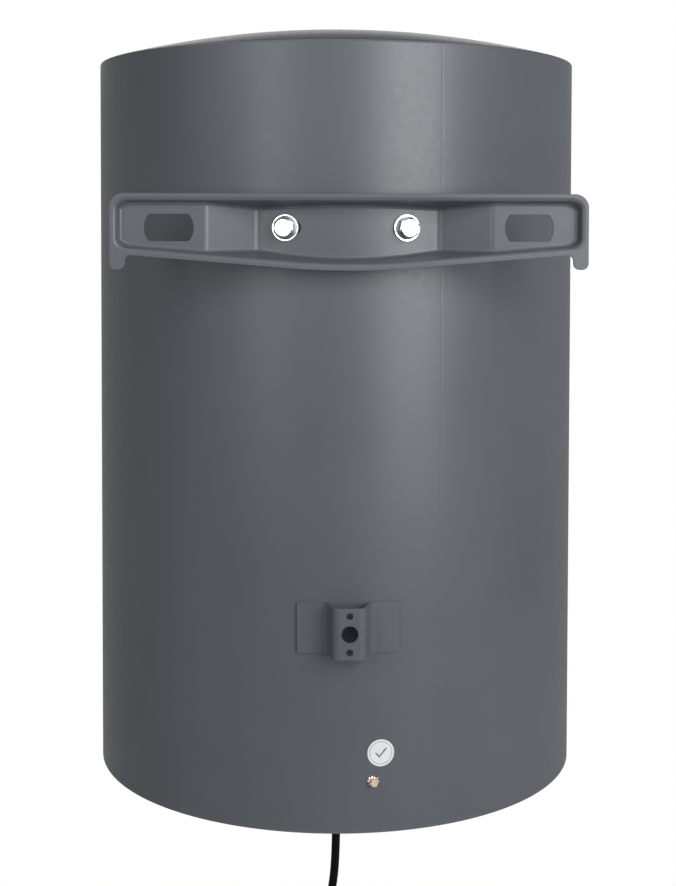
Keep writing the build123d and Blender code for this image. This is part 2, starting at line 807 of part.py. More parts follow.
def flange_bolt(angle, turn):
    seat = radial_plane(angle, 0, bolt_seat)
    side = Plane(seat.origin, x_dir=seat.x_dir, z_dir=-seat.y_dir)
    bolt_axis = Axis(seat.origin, seat.z_dir)
    with BuildPart() as bolt:
        with BuildSketch(seat):
            RegularPolygon(bracket_bolt_flats / 2, 6, major_radius=False, rotation=turn)
        extrude(amount=bracket_bolt_head)
        with BuildSketch(side):
            with BuildLine():
                Polyline(
                    (0, 0),
                    (hex_corner, 0),
                    (hex_corner, bracket_bolt_head - chamfer_drop),
                    (bracket_bolt_crown, bracket_bolt_head),
                    (0, bracket_bolt_head),
                    close=True,
                )
            make_face()
        revolve(axis=bolt_axis, mode=Mode.INTERSECT)
        with BuildSketch(side):
            with BuildLine():
                Polyline(
                    (0, 0),
                    (bracket_bolt_flange, 0),
                    (bracket_bolt_flange, bracket_bolt_flange_edge),
                    (bracket_bolt_flats / 2, cone_top),
                    (0, cone_top),
                    close=True,
                )
            make_face()
            rim_pair = ((bracket_bolt_flange, 0), (bracket_bolt_flange, bracket_bolt_flange_edge))
            fillet(corners(vertices(), *rim_pair), bracket_bolt_flange_round)
        revolve(axis=bolt_axis)
        with BuildSketch(seat):
            Circle(bracket_bolt_radius)
        extrude(amount=-bracket_bolt_length)
    return bolt.part


with BuildPart() as bracket_bolts:
    for angle, turn in zip(bolt_angles, bracket_bolt_turns):
        add(flange_bolt(angle, turn))

# Lower spacer bracket: a bent strip whose hat stands off to the wall plane and whose wings hug the jacket
spacer_low = -spacer_below_slots - spacer_height / 2
wing_radius = jacket_radius + skin_clearance + spacer_sheet
spacer_front = jacket_radius + wall_gap
hat_root = spacer_face / 2 + spacer_slant
hat_foot_y = sqrt(wing_radius**2 - hat_root**2)
wing_reach = 2 * spacer_front
wing_x = wing_reach * sin(radians(spacer_wing_angle))
wing_y = wing_reach * cos(radians(spacer_wing_angle))
with BuildSketch() as spacer_outside:
    Circle(wing_radius)
    with BuildLine():
        Polyline(
            (0, 0),
            (hat_root, 0),
            (hat_root, hat_foot_y),
            (spacer_face / 2, spacer_front),
            (-spacer_face / 2, spacer_front),
            (-hat_root, hat_foot_y),
            (-hat_root, 0),
            close=True,
        )
    make_face()
    front_pair = ((-spacer_face / 2, spacer_front), (spacer_face / 2, spacer_front))
    foot_pair = ((-hat_root, hat_foot_y), (hat_root, hat_foot_y))
    fillet(corners(vertices(), *front_pair), spacer_front_bend)
    fillet(corners(vertices(), *foot_pair), spacer_foot_bend)
with BuildSketch() as spacer_inside:
    add(spacer_outside.sketch)
    offset(amount=-spacer_sheet)
with BuildPart() as spacer_bracket:
    with BuildSketch(level(spacer_low)):
        add(spacer_outside.sketch)
        add(spacer_inside.sketch, mode=Mode.SUBTRACT)
        with BuildLine():
            Polyline((0, 0), (wing_x, wing_y), (-wing_x, wing_y), close=True)
        make_face(mode=Mode.INTERSECT)
    extrude(amount=spacer_height)
    tips = spacer_bracket.faces().filter_by(Axis.Z, reverse=True).sort_by(Axis.X)
    tip_edges = [e for f in (tips[0], tips[-1]) for e in f.edges() if e.length < 2 * spacer_sheet]
    fillet(tip_edges, spacer_wing_corner)
    with BuildSketch(Plane.XZ):
        with Locations((0, -spacer_below_slots)):
            Circle(spacer_bore_radius)
            with GridLocations(0, spacer_hole_spacing, 1, 2):
                Circle(spacer_hole_radius)
    extrude(amount=wall_gap / 2, mode=Mode.SUBTRACT)

# Earth point: a brass hex screw with a toothed washer outside the jacket and a nut inside it
washer_seat = jacket_radius + seat_gap
head_seat = washer_seat + earth_washer_thickness
nut_seat = jacket_inside - seat_gap
with BuildPart() as earth_washer:
    with BuildSketch(radial_plane(earth_angle, -earth_below_slots, washer_seat)):
        Circle(earth_washer_radius)
        Circle(earth_screw_radius + hole_clearance, mode=Mode.SUBTRACT)
        with PolarLocations(earth_washer_radius, earth_washer_teeth):
            Rectangle(2 * earth_tooth_depth, earth_tooth_gap, mode=Mode.SUBTRACT)
    extrude(amount=earth_washer_thickness)

with BuildPart() as earth_screw:
    with BuildSketch(radial_plane(earth_angle, -earth_below_slots, head_seat)):
        RegularPolygon(earth_head_flats / 2, 6, major_radius=False)
    extrude(amount=earth_head_height)
    head_face = earth_screw.faces().sort_by(Axis.Y)[-1]
    chamfer(head_face.edges(), earth_head_edge)
    with BuildSketch(radial_plane(earth_angle, -earth_below_slots, head_seat)):
        Circle(earth_screw_radius)
    extrude(amount=-earth_screw_length)

with BuildPart() as earth_nut:
    with BuildSketch(radial_plane(earth_angle, -earth_below_slots, nut_seat)):
        RegularPolygon(earth_nut_flats / 2, 6, major_radius=False)
        Circle(earth_screw_radius + weld_gap, mode=Mode.SUBTRACT)
    extrude(amount=-earth_nut_height)

# Round sticker that follows the jacket's skin
sticker_skin = jacket_radius + sticker_gap
with BuildPart() as inspection_sticker:
    with BuildSketch(level(-sticker_below_slots - 2 * sticker_radius)):
        Circle(sticker_skin + sticker_thickness)
        Circle(sticker_skin, mode=Mode.SUBTRACT)
    extrude(amount=4 * sticker_radius)
    with BuildSketch(radial_plane(sticker_angle, -sticker_below_slots, jacket_radius - sticker_radius)):
        Circle(sticker_radius)
    extrude(amount=2 * sticker_radius, mode=Mode.INTERSECT)

# Control cover: a drafted moulding with a flat rear side, screw bosses and a well for the knob
knob_y = well_offset
well_roof = cover_floor + well_floor_depth
cover_plane = Plane((0, axis_y, cover_top), x_dir=(1, 0, 0), z_dir=(0, 0, -1))


# The cover's drafted form as a solid plug, inset from its outer face
def cover_plug(inset):
    with BuildPart() as plug:
        with BuildSketch(cover_plane):
            Circle(cover_radius - inset)
            with Locations((0, inset - cover_flat - cover_radius)):
                Rectangle(4 * cover_radius, 2 * cover_radius, mode=Mode.SUBTRACT)
            fillet(vertices(), cover_corner - inset)
        extrude(amount=cover_height - inset, taper=cover_draft)
        fillet(plug.faces().sort_by(Axis.Z)[0].edges(), cover_edge - inset)
    return plug.part


with BuildPart() as control_cover:
    add(cover_plug(0))
    add(cover_plug(cover_wall), mode=Mode.SUBTRACT)
    with BuildSketch(level(cover_floor + cover_wall)):
        with Locations(*boss_places):
            Circle(boss_radius)
    extrude(amount=cover_height - cover_wall)
    add(round_bar(0, knob_y, cover_floor, well_roof + cover_wall, well_floor_radius + cover_wall))
    add(round_bar(0, knob_y, cover_floor, well_roof, well_floor_radius), mode=Mode.SUBTRACT)
    with BuildSketch(level(cover_floor)):
        with Locations((0, knob_y)):
            Circle(spindle_radius + spindle_hole_gap)
        with Locations((cutout_offset, 0)):
            Circle(reset_head_radius + reset_gap)
        with Locations((0, lamp_offset)):
            Circle(lamp_radius + hole_clearance)
        with Locations((0, cord_setback)):
            Circle(relief_root_radius + relief_hole_gap)
        with Locations(*boss_places):
            Circle(cover_screw_radius + hole_clearance)
    extrude(amount=cover_height, mode=Mode.SUBTRACT)
    with BuildSketch(level(cover_floor)):
        with Locations(*boss_places):
            Circle(cover_screw_head_radius + hole_clearance)
    extrude(amount=cover_screw_recess, mode=Mode.SUBTRACT)

screw_head_low = cover_floor + cover_screw_recess - cover_screw_head
screw_tip = pan_top + cover_screw_tip
with BuildPart() as cover_screws:
    for x, y in boss_places:
        add(round_bar(x, y, screw_head_low, screw_head_low + cover_screw_head, cover_screw_head_radius))
        add(round_bar(x, y, screw_head_low, screw_tip, cover_screw_radius))

# Rod thermostat: its body hangs under the flange plate with the sensor stem up in the pocket
body_top = plate_under - seat_gap
body_low = body_top - thermostat_height
with BuildPart() as thermostat_body:
    with BuildSketch(Plane((0, axis_y + well_offset, body_low))):
        RectangleRounded(thermostat_width, thermostat_depth, thermostat_corner)
    extrude(amount=thermostat_height)
    chamfer(thermostat_body.faces().sort_by(Axis.Z)[0].edges(), thermostat_corner / 2)
    with BuildSketch(Plane((0, axis_y + well_offset, body_low))):
        Circle(spindle_radius + spindle_gap)
    extrude(amount=spindle_seat, mode=Mode.SUBTRACT)
    add(round_bar(0, well_offset, body_top, body_top + stem_length, stem_radius))

# Knob and the spindle that it turns
knob_top = well_roof - knob_gap
knob_low = knob_top - knob_height
spindle_low = knob_top - knob_socket
spindle_high = body_low + spindle_seat - spindle_end_gap
with BuildPart() as thermostat_spindle:
    add(round_bar(0, knob_y, spindle_low, spindle_high, spindle_radius))

with BuildPart() as thermostat_knob:
    with BuildSketch(Plane((0, axis_y + knob_y, knob_low))):
        Circle(knob_radius)
        with PolarLocations(knob_radius + knob_flute_radius / 2, knob_flutes):
            Circle(knob_flute_radius, mode=Mode.SUBTRACT)
    extrude(amount=knob_height)
    chamfer(thermostat_knob.faces().sort_by(Axis.Z)[0].edges(), knob_edge / 2)
    add(round_bar(0, knob_y, spindle_low, knob_top, spindle_radius + weld_gap / 2), mode=Mode.SUBTRACT)

# Over-temperature cut-out with its reset button
cutout_low = body_top - cutout_height
with BuildPart() as safety_cutout:
    add(round_bar(cutout_offset, 0, cutout_low, body_top, cutout_radius))
    chamfer(safety_cutout.faces().sort_by(Axis.Z)[0].edges(), cutout_edge)
    with BuildSketch(Plane((cutout_offset, axis_y, cutout_low))):
        Circle(reset_stem_radius + spindle_gap)
    extrude(amount=reset_seat, mode=Mode.SUBTRACT)

reset_low = cover_floor - reset_proud
reset_top = cutout_low + reset_seat - 2 * reset_travel
with BuildPart() as reset_button:
    add(round_bar(cutout_offset, 0, reset_low, reset_low + reset_head_height, reset_head_radius))
    fillet(reset_button.faces().sort_by(Axis.Z)[0].edges(), reset_proud / 2)
    add(round_bar(cutout_offset, 0, reset_low + reset_head_height, reset_top, reset_stem_radius))

# Pilot lamp: a lens with a bezel under the floor and a barrel inside
with BuildPart() as pilot_lamp:
    add(round_bar(0, lamp_offset, cover_floor, cover_floor + lamp_length, lamp_radius))
    add(round_bar(0, lamp_offset, cover_floor - lamp_bezel, cover_floor, lamp_bezel_radius))
    fillet(pilot_lamp.faces().sort_by(Axis.Z)[0].edges(), lamp_bezel / 2)

# Terminal block under the pan
terminal_low = cover_top - terminal_height
terminal_step = terminal_width / terminal_ways
terminal_plane = Plane((terminal_offset_x, axis_y + terminal_offset_y, terminal_low))
with BuildPart() as terminal_block:
    with BuildSketch(terminal_plane):
        Rectangle(terminal_width, terminal_depth)
    extrude(amount=terminal_height)
    with BuildSketch(terminal_plane):
        with GridLocations(terminal_step, terminal_depth / 2, terminal_ways, 2):
            Circle(terminal_screw_radius)
    extrude(amount=terminal_screw_depth, mode=Mode.SUBTRACT)

# Strain relief: a grommet in the cover's floor with a tapered boot that is ribbed so that it bends
cord_y = axis_y + cord_setback
relief_low = cover_floor - relief_length
relief_high = cover_floor + cover_wall + relief_flange
rib_grooves = [cover_floor - relief_flange - n * relief_rib_pitch for n in range(1, relief_ribs + 1)]
relief_section = Plane((0, cord_y, 0), x_dir=(1, 0, 0), z_dir=(0, -1, 0))
with BuildPart() as cord_relief:
    with BuildSketch(relief_section):
        with BuildLine():
            Polyline(
                (0, relief_high),
                (relief_flange_radius, relief_high),
                (relief_flange_radius, cover_floor + cover_wall),
                (relief_root_radius, cover_floor + cover_wall),
                (relief_root_radius, cover_floor),
                (relief_flange_radius, cover_floor),
                (relief_flange_radius, cover_floor - relief_flange),
                (relief_root_radius, cover_floor - relief_flange),
                (relief_tip_radius, relief_low),
                (0, relief_low),
                close=True,
            )
        make_face()
        for groove in rib_grooves:
            along = (cover_floor - relief_flange - groove) / (relief_length - relief_flange)
            skin = relief_root_radius + (relief_tip_radius - relief_root_radius) * along
            with Locations((skin, groove)):
                Rectangle(2 * relief_groove_depth, relief_groove_width, mode=Mode.SUBTRACT)
    revolve(axis=Axis((0, cord_y, 0), (0, 0, 1)))


# Bend radii as large as the two runs at each corner of a route allow
def bend_radii(points):
    radii = []
    for before, here, after in zip(points, points[1:], points[2:]):
        inward = Vector(*here) - Vector(*before)
        outward = Vector(*after) - Vector(*here)
        half_turn = radians(inward.get_angle(outward)) / 2
        radii.append(0.45 * min(inward.length, outward.length) / tan(half_turn))
    return radii


# Free stretch of the cord, from the strain relief down to the coil
cord_route = [
    (0, cord_y, relief_low),
    (0, cord_y, -679),
    (2.4, cord_y, -722),
    (coil_start_x, cord_y, -766),
    (coil_start_x, cord_y, coil_level + 2 * cord_radius),
]
cord_radii = bend_radii(cord_route)
with BuildPart() as power_cord:
    with BuildLine() as cord_line:
        FilletPolyline(*cord_route, radius=cord_radii)
    cord_path = cord_line.wire()
    with BuildSketch(Plane(cord_path @ 0, z_dir=cord_path % 0)):
        Circle(cord_radius)
    sweep()
cord_section = pi * cord_radius**2
print("cord bend radii", [round(r) for r in cord_radii])
print("cord volume", power_cord.part.volume, "section by length", cord_section * cord_path.length)

# Put-away coil: half turns that spiral in, climb to the second layer and spiral out again
coil_step = 2 * cord_radius + coil_gap
coil_x = coil_start_x - coil_outer
coil_reach = [coil_outer]
for half_turn in range(coil_turns_in + 1):
    coil_reach.append(coil_reach[-1] - coil_step / 2)
coil_reach.append(coil_reach[-1] + coil_step)
for half_turn in range(coil_turns_out - 1):
    coil_reach.append(coil_reach[-1] + coil_step / 2)
coil_joints = []
for count, reach in enumerate(coil_reach):
    side = 1 if count % 2 == 0 else -1
    layer = 0 if count <= coil_turns_in else 1
    coil_joints.append(Vector(coil_x + side * reach, cord_y - layer * coil_step, coil_level))
coil_end = coil_joints[-1]
cord_stub = Vector(0, 0, 2 * cord_radius)
with BuildPart() as cord_coil:
    with BuildLine() as coil_line:
        Line(coil_joints[0] + cord_stub, coil_joints[0])
        for count, (start, end) in enumerate(zip(coil_joints, coil_joints[1:])):
            lift = (end - start).length / 2
            middle = (start + end) * 0.5 + Vector(0, 0, -lift if count % 2 == 0 else lift)
            ThreePointArc(start, middle, end)
        Line(coil_end, coil_end - cord_stub)
    coil_path = coil_line.wire()
    with BuildSketch(Plane(coil_path @ 0, z_dir=coil_path % 0)):
        Circle(cord_radius)
    sweep()
print("coil volume", cord_coil.part.volume, "section by length", cord_section * coil_path.length)
coil_samples = 720
coil_points = [coil_path.position_at(n / coil_samples) for n in range(coil_samples + 1)]
sample_step = coil_path.length / coil_samples
apart = int(4 * cord_radius / sample_step)
coil_self_gap = min(
    (coil_points[i] - coil_points[j]).length
    for i in range(coil_samples + 1)
    for j in range(i + apart, coil_samples + 1)
)
print("least gap between turns", coil_self_gap - 2 * cord_radius)

# Straight tail that carries the plug
tail_low = coil_end.Z - 2 * cord_radius - tail_length
with BuildPart() as cord_tail:
    with BuildSketch(Plane((coil_end.X, coil_end.Y, tail_low))):
        Circle(cord_radius)
    extrude(amount=tail_length)
whole_cord = cord_path.length + coil_path.length + tail_length
print("cord length", whole_cord)

# Tie: a strap round the turns at the bottom of the coil
low_reach = [(a + b) / 2 for a, b in zip(coil_reach[0::2], coil_reach[1::2])]
tie_inner = min(low_reach) - cord_radius
tie_outer = max(low_reach) + cord_radius
tie_sag = tie_inner - sqrt(tie_inner**2 - (tie_width / 2 + coil_step / 2) ** 2)
tie_high = coil_level - tie_inner + tie_sag + tie_clearance
tie_low = coil_level - tie_outer - tie_clearance
tie_height = tie_high - tie_low
tie_depth = coil_step + 2 * cord_radius + 2 * tie_clearance
tie_centre = (coil_x - tie_width / 2, cord_y - coil_step / 2, (tie_high + tie_low) / 2)
with BuildPart() as cord_tie:
    with BuildSketch(Plane(tie_centre, x_dir=(0, 1, 0), z_dir=(1, 0, 0))):
        RectangleRounded(tie_depth + 2 * tie_sheet, tie_height + 2 * tie_sheet, tie_corner + tie_sheet)
        RectangleRounded(tie_depth, tie_height, tie_corner, mode=Mode.SUBTRACT)
    extrude(amount=tie_width)

# Earthed two-pin plug with a moulded boot and a recess on each side for its earth clips
plug_waist = tail_low - plug_relief_length
plug_shoulder_z = plug_waist - plug_shoulder
plug_face = plug_waist - plug_body_length
with BuildPart() as plug_body:
    with BuildSketch(Plane((coil_end.X, coil_end.Y, 0), x_dir=(1, 0, 0), z_dir=(0, -1, 0))):
        with BuildLine():
            Line((0, tail_low), (plug_neck_radius, tail_low))
            Spline(
                (plug_neck_radius, tail_low),
                (plug_radius, plug_shoulder_z),
                tangents=((0.1, -1), (0.1, -1)),
            )
            Line((plug_radius, plug_shoulder_z), (plug_radius, plug_face))
            Line((plug_radius, plug_face), (0, plug_face))
            Line((0, plug_face), (0, tail_low))
        make_face()
        fillet(corners(vertices(), (plug_radius, plug_face)), plug_edge)
    revolve(axis=Axis((coil_end.X, coil_end.Y, 0), (0, 0, 1)))
    with BuildSketch(Plane((coil_end.X, coil_end.Y, plug_face))):
        with GridLocations(plug_pin_spacing, 0, 2, 1):
            Circle(plug_pin_radius + weld_gap / 2)
    extrude(amount=plug_pin_root, mode=Mode.SUBTRACT)
    with BuildSketch(Plane((coil_end.X, coil_end.Y, plug_face))):
        with GridLocations(0, 2 * plug_radius, 1, 2):
            Rectangle(earth_recess_width, 2 * earth_recess_depth)
    extrude(amount=earth_recess_length, mode=Mode.SUBTRACT)

# Earth clips: bowed spring strips that lie in the plug's side recesses
clip_floor = plug_radius - earth_recess_depth
clip_low = plug_face + (earth_recess_length - earth_clip_length) / 2
clip_middle = clip_low + earth_clip_length / 2
clip_high = clip_low + earth_clip_length
with BuildPart() as plug_earth_clips:
    for side in (-1, 1):
        clip_y = coil_end.Y + side * (clip_floor + weld_gap)
        start_x = coil_end.X - earth_clip_width / 2
        with BuildSketch(Plane((start_x, clip_y, 0), x_dir=(0, side, 0), z_dir=(side, 0, 0))):
            with BuildLine():
                ThreePointArc((0, clip_low), (earth_clip_bow, clip_middle), (0, clip_high))
                Line((0, clip_high), (earth_clip_sheet, clip_high))
                ThreePointArc(
                    (earth_clip_sheet, clip_high),
                    (earth_clip_sheet + earth_clip_bow, clip_middle),
                    (earth_clip_sheet, clip_low),
                )
                Line((earth_clip_sheet, clip_low), (0, clip_low))
            make_face()
        extrude(amount=side * earth_clip_width)

with BuildPart() as plug_pins:
    with BuildSketch(Plane((coil_end.X, coil_end.Y, plug_face - plug_pin_length))):
        with GridLocations(plug_pin_spacing, 0, 2, 1):
            Circle(plug_pin_radius)
    extrude(amount=plug_pin_length + plug_pin_root)
    fillet(plug_pins.edges().group_by(Axis.Z)[0], plug_pin_radius / 2)


# A lead inside the cover along straight runs with rounded corners
def lead(radius, *points):
    with BuildPart() as wire:
        with BuildLine() as run:
            FilletPolyline(*points, radius=lead_bend)
        path = run.wire()
        with BuildSketch(Plane(path @ 0, z_dir=path % 0)):
            Circle(radius)
        sweep()
    return wire.part


# Leads: supply to the terminals, terminals to the thermostat, thermostat to the cut-out
lead_z = plate_under - lead_level
terminal_x = terminal_offset_x + terminal_width / 2 + lead_gap
terminal_y = axis_y + terminal_offset_y
terminal_back = terminal_y + terminal_depth / 2 + lead_gap
supply_z = terminal_low + terminal_height / 2
thermostat_x = thermostat_width / 2 + lead_gap
thermostat_y = axis_y + well_offset
lead_turn_x = (terminal_x - thermostat_x) / 2
with BuildPart() as internal_leads:
    add(
        lead(
            supply_core_radius,
            (0, cord_y, relief_high + lead_gap),
            (0, cord_y, supply_z),
            (terminal_offset_x, cord_y, supply_z),
            (terminal_offset_x, terminal_back, supply_z),
        )
    )
    add(
        lead(
            lead_radius,
            (terminal_x, terminal_y, lead_z),
            (lead_turn_x, terminal_y, lead_z),
            (lead_turn_x, thermostat_y, lead_z),
            (-thermostat_x, thermostat_y, lead_z),
        )
    )
    add(
        lead(
            lead_radius,
            (thermostat_x, thermostat_y, lead_z),
            (cutout_offset, thermostat_y, lead_z),
            (cutout_offset, axis_y - cutout_radius - lead_gap, lead_z),
        )
    )

pieces = {
    "jacket": jacket,
    "top_cover": top_cover,
    "bottom_pan": bottom_pan,
    "insulation_foam": insulation_foam,
    "tank_shell": tank_shell,
    "tank_top_head": tank_top_head,
    "tank_bottom_head": tank_bottom_head,
    "flange_neck": flange_neck,
    "flange_gasket": flange_gasket,
    "flange_plate": flange_plate,
    "flange_bolts": flange_bolts,
    "heating_element": heating_element,
    "anode_rod": anode_rod,
    "thermowell": thermowell,
    "cold_inlet_pipe": cold_inlet_pipe,
    "hot_outlet_pipe": hot_outlet_pipe,
    "cold_collar": cold_collar,
    "hot_collar": hot_collar,
    "inlet_diffuser": inlet_diffuser,
    "wall_bracket": wall_bracket,
    "bracket_bolts": bracket_bolts,
    "bracket_anchors": bracket_anchors,
    "spacer_bracket": spacer_bracket,
    "earth_screw": earth_screw,
    "earth_washer": earth_washer,
    "earth_nut": earth_nut,
    "inspection_sticker": inspection_sticker,
    "control_cover": control_cover,
    "cover_screws": cover_screws,
    "thermostat_body": thermostat_body,
    "thermostat_spindle": thermostat_spindle,
    "thermostat_knob": thermostat_knob,
    "safety_cutout": safety_cutout,
    "reset_button": reset_button,
    "pilot_lamp": pilot_lamp,
    "terminal_block": terminal_block,
    "internal_leads": internal_leads,
    "cord_relief": cord_relief,
    "power_cord": power_cord,
    "cord_coil": cord_coil,
    "cord_tail": cord_tail,
    "cord_tie": cord_tie,
    "plug_body": plug_body,
    "plug_earth_clips": plug_earth_clips,
    "plug_pins": plug_pins,
}
for name, piece in pieces.items():
    piece.part.label = name
    export_step(piece.part, f"parts/{name}.step")
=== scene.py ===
import math

import bmesh
import bpy
from mathutils import Matrix, Quaternion, Vector


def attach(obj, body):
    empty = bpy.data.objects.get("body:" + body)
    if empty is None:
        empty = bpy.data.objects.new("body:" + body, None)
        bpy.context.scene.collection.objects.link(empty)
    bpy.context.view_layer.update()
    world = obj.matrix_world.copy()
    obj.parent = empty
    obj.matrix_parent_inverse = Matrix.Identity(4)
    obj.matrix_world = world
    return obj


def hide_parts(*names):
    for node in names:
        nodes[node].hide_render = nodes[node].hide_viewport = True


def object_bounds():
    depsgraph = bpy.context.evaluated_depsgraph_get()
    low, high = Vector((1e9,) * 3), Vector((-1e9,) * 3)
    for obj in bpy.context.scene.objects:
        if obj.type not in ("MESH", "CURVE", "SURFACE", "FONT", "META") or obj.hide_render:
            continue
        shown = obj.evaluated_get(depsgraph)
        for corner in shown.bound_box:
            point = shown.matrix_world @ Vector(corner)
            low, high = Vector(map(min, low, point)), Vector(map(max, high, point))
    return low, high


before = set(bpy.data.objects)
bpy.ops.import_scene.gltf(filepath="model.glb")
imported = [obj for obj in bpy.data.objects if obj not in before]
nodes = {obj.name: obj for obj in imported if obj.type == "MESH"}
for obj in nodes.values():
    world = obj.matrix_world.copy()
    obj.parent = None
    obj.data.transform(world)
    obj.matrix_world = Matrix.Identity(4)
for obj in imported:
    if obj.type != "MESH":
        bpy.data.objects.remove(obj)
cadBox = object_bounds()
scene = bpy.context.scene
mm = 0.001
weld = 0.002  # points nearer than this, in millimetres, become one
print("frame loaded:", len(nodes), "nodes")

# All sizes below are millimetres, as on the drawing of the heater
heater = dict(radius=257.5, axisY=-283.0, top=175.7, bottom=-576.5)


def linear(hexColour):
    channels = [int(hexColour[i : i + 2], 16) / 255 for i in (1, 3, 5)]
    return [c / 12.92 if c <= 0.04045 else ((c + 0.055) / 1.055) ** 2.4 for c in channels] + [1.0]


def addNode(tree, kind, values=None, links=None, **settings):
    node = tree.nodes.new(kind)
    for name, value in settings.items():
        setattr(node, name, value)
    for socket, value in (values or {}).items():
        node.inputs[socket].default_value = value
    for socket, source in (links or {}).items():
        tree.links.new(source, node.inputs[socket])
    return node


def newFinish(name, **sockets):
    finish = bpy.data.materials.new(name)
    finish.use_nodes = True
    tree = finish.node_tree
    shader = tree.nodes["Principled BSDF"]
    for socket, value in sockets.items():
        shader.inputs[socket.replace("_", " ")].default_value = value
    place = addNode(tree, "ShaderNodeTexCoord").outputs["Object"]
    return finish, tree, shader, place


# Two tones mottled by noise, with a grain that is felt in the bump and in the gloss.
# Patch, grain and depth are millimetres
def mottled(finish, tones, patch, grain, depth, gloss):
    material, tree, shader, place = finish
    low, high = 0.3, 0.7  # nearly all of the noise lies between these
    patches = {"Scale": 1 / (patch * mm), "Detail": 3.0}
    grains = {"Scale": 1 / (grain * mm), "Detail": 2.0}
    cloud = addNode(tree, "ShaderNodeTexNoise", patches, {"Vector": place})
    ramp = addNode(tree, "ShaderNodeValToRGB", links={"Fac": cloud.outputs["Fac"]})
    for stop, position, tone in zip(ramp.color_ramp.elements, (low, high), tones):
        stop.position = position
        stop.color = linear(tone)
    tree.links.new(ramp.outputs["Color"], shader.inputs["Base Color"])
    height = addNode(tree, "ShaderNodeTexNoise", grains, {"Vector": place}).outputs["Fac"]
    spread = addNode(
        tree,
        "ShaderNodeMapRange",
        {"From Min": low, "From Max": high, "To Min": gloss[0], "To Max": gloss[1]},
        {"Value": height},
    )
    tree.links.new(spread.outputs["Result"], shader.inputs["Roughness"])
    bump = addNode(tree, "ShaderNodeBump", {"Strength": 1.0, "Distance": depth * mm}, {"Height": height})
    tree.links.new(bump.outputs["Normal"], shader.inputs["Normal"])
    return material


# Satin powder coat on steel sheet: an even graphite grey with a faint orange peel.
# The peel is about 1 mm on the real sheet and is drawn at 4 mm, because finer doesn't show
def powderCoat(name, tones, gloss):
    return mottled(newFinish(name, IOR=1.5), tones, patch=160, grain=4.0, depth=0.006, gloss=gloss)


# Zinc-plated steel: bright, with the fine cloudy grain that the bath leaves
def brightZinc():
    finish = newFinish("bright_zinc", Metallic=1.0)
    tones = ("#dfe2e5", "#f6f7f8")
    return mottled(finish, tones, patch=6, grain=1.2, depth=0.01, gloss=(0.18, 0.3))


# Zinc for the bolts' shaded faces: rough, and a darker grey that is painted shade
def shadedZinc():
    finish = newFinish("zinc_painted_shade", Metallic=1.0)
    tones = ("#989ca0", "#b6babd")
    return mottled(finish, tones, patch=4, grain=0.8, depth=0.015, gloss=(0.4, 0.52))


# Bare rolled steel: duller, with mill scale in patches
def rolledSteel():
    finish = newFinish("rolled_steel", Metallic=1.0)
    tones = ("#8d9093", "#b2b4b5")
    return mottled(finish, tones, patch=18, grain=2.0, depth=0.02, gloss=(0.3, 0.46))


# Turned brass: warm yellow, handled, so it has dull spots
def turnedBrass():
    finish = newFinish("turned_brass", Metallic=1.0)
    tones = ("#d2b48e", "#ecd9ba")
    return mottled(finish, tones, patch=4, grain=0.8, depth=0.008, gloss=(0.5, 0.62))


# Nickel on the plug's pins: warm silver, drawn smooth
def nickelPlate():
    finish = newFinish("nickel_plate", Metallic=1.0)
    tones = ("#c4beb2", "#dcd8cf")
    return mottled(finish, tones, patch=5, grain=1.0, depth=0.004, gloss=(0.16, 0.24))


# Cast magnesium rod, grey and dull from the air
def castMagnesium():
    finish = newFinish("cast_magnesium", Metallic=1.0)
    tones = ("#84878a", "#a3a5a6")
    return mottled(finish, tones, patch=10, grain=1.5, depth=0.05, gloss=(0.5, 0.65))


# Copper-nickel sheath of the element and its pocket: annealed, so it is grey-brown and dull
def annealedSheath():
    finish = newFinish("annealed_copper_nickel", Metallic=1.0)
    tones = ("#77726b", "#96908a")
    return mottled(finish, tones, patch=22, grain=1.5, depth=0.01, gloss=(0.32, 0.44))


# Glass enamel fused on the tank: deep blue-green, glossy, a little wavy
def tankEnamel():
    finish = newFinish("fused_enamel", IOR=1.52)
    tones = ("#24414c", "#2d4f5a")
    return mottled(finish, tones, patch=40, grain=9.0, depth=0.08, gloss=(0.1, 0.18))


# Rigid polyurethane foam, cream, with its cells
def rigidFoam():
    finish = newFinish("polyurethane_foam", IOR=1.4)
    tones = ("#d8c48c", "#e8d7a4")
    return mottled(finish, tones, patch=30, grain=2.2, depth=0.5, gloss=(0.8, 0.95))


# Moulded EPDM: black, matt, slightly bloomed
def mouldedRubber():
    finish = newFinish("moulded_epdm", IOR=1.5)
    tones = ("#1c1c1d", "#262627")
    return mottled(finish, tones, patch=14, grain=1.2, depth=0.03, gloss=(0.6, 0.75))


# Injection-moulded ABS with a spark-eroded face that scatters the light.
# The grain is 0.15 mm on the tool and is drawn at 0.9 mm, because finer doesn't show
def mouldedAbs(name, tones, gloss):
    return mottled(newFinish(name, IOR=1.46), tones, patch=45, grain=0.9, depth=0.02, gloss=gloss)


# Flexible PVC sheath: black, extruded smooth, so it has a soft sheen
def extrudedPvc():
    finish = newFinish("extruded_pvc", IOR=1.53, Specular_IOR_Level=0.1)
    tones = ("#040405", "#060607")
    return mottled(finish, tones, patch=25, grain=1.6, depth=0.01, gloss=(0.46, 0.56))


# Lens of the pilot lamp: tinted polycarbonate that lets light in
def lampLens():
    finish = newFinish("tinted_polycarbonate", IOR=1.58, Transmission_Weight=0.35)
    tones = ("#c9551f", "#e07a33")
    return mottled(finish, tones, patch=3, grain=0.8, depth=0.004, gloss=(0.08, 0.16))


# Printed film of the sticker, and print on the dial: even, with a soft gloss
def printedFilm(name, tones):
    return mottled(newFinish(name, IOR=1.48), tones, patch=9, grain=0.7, depth=0.003, gloss=(0.32, 0.42))


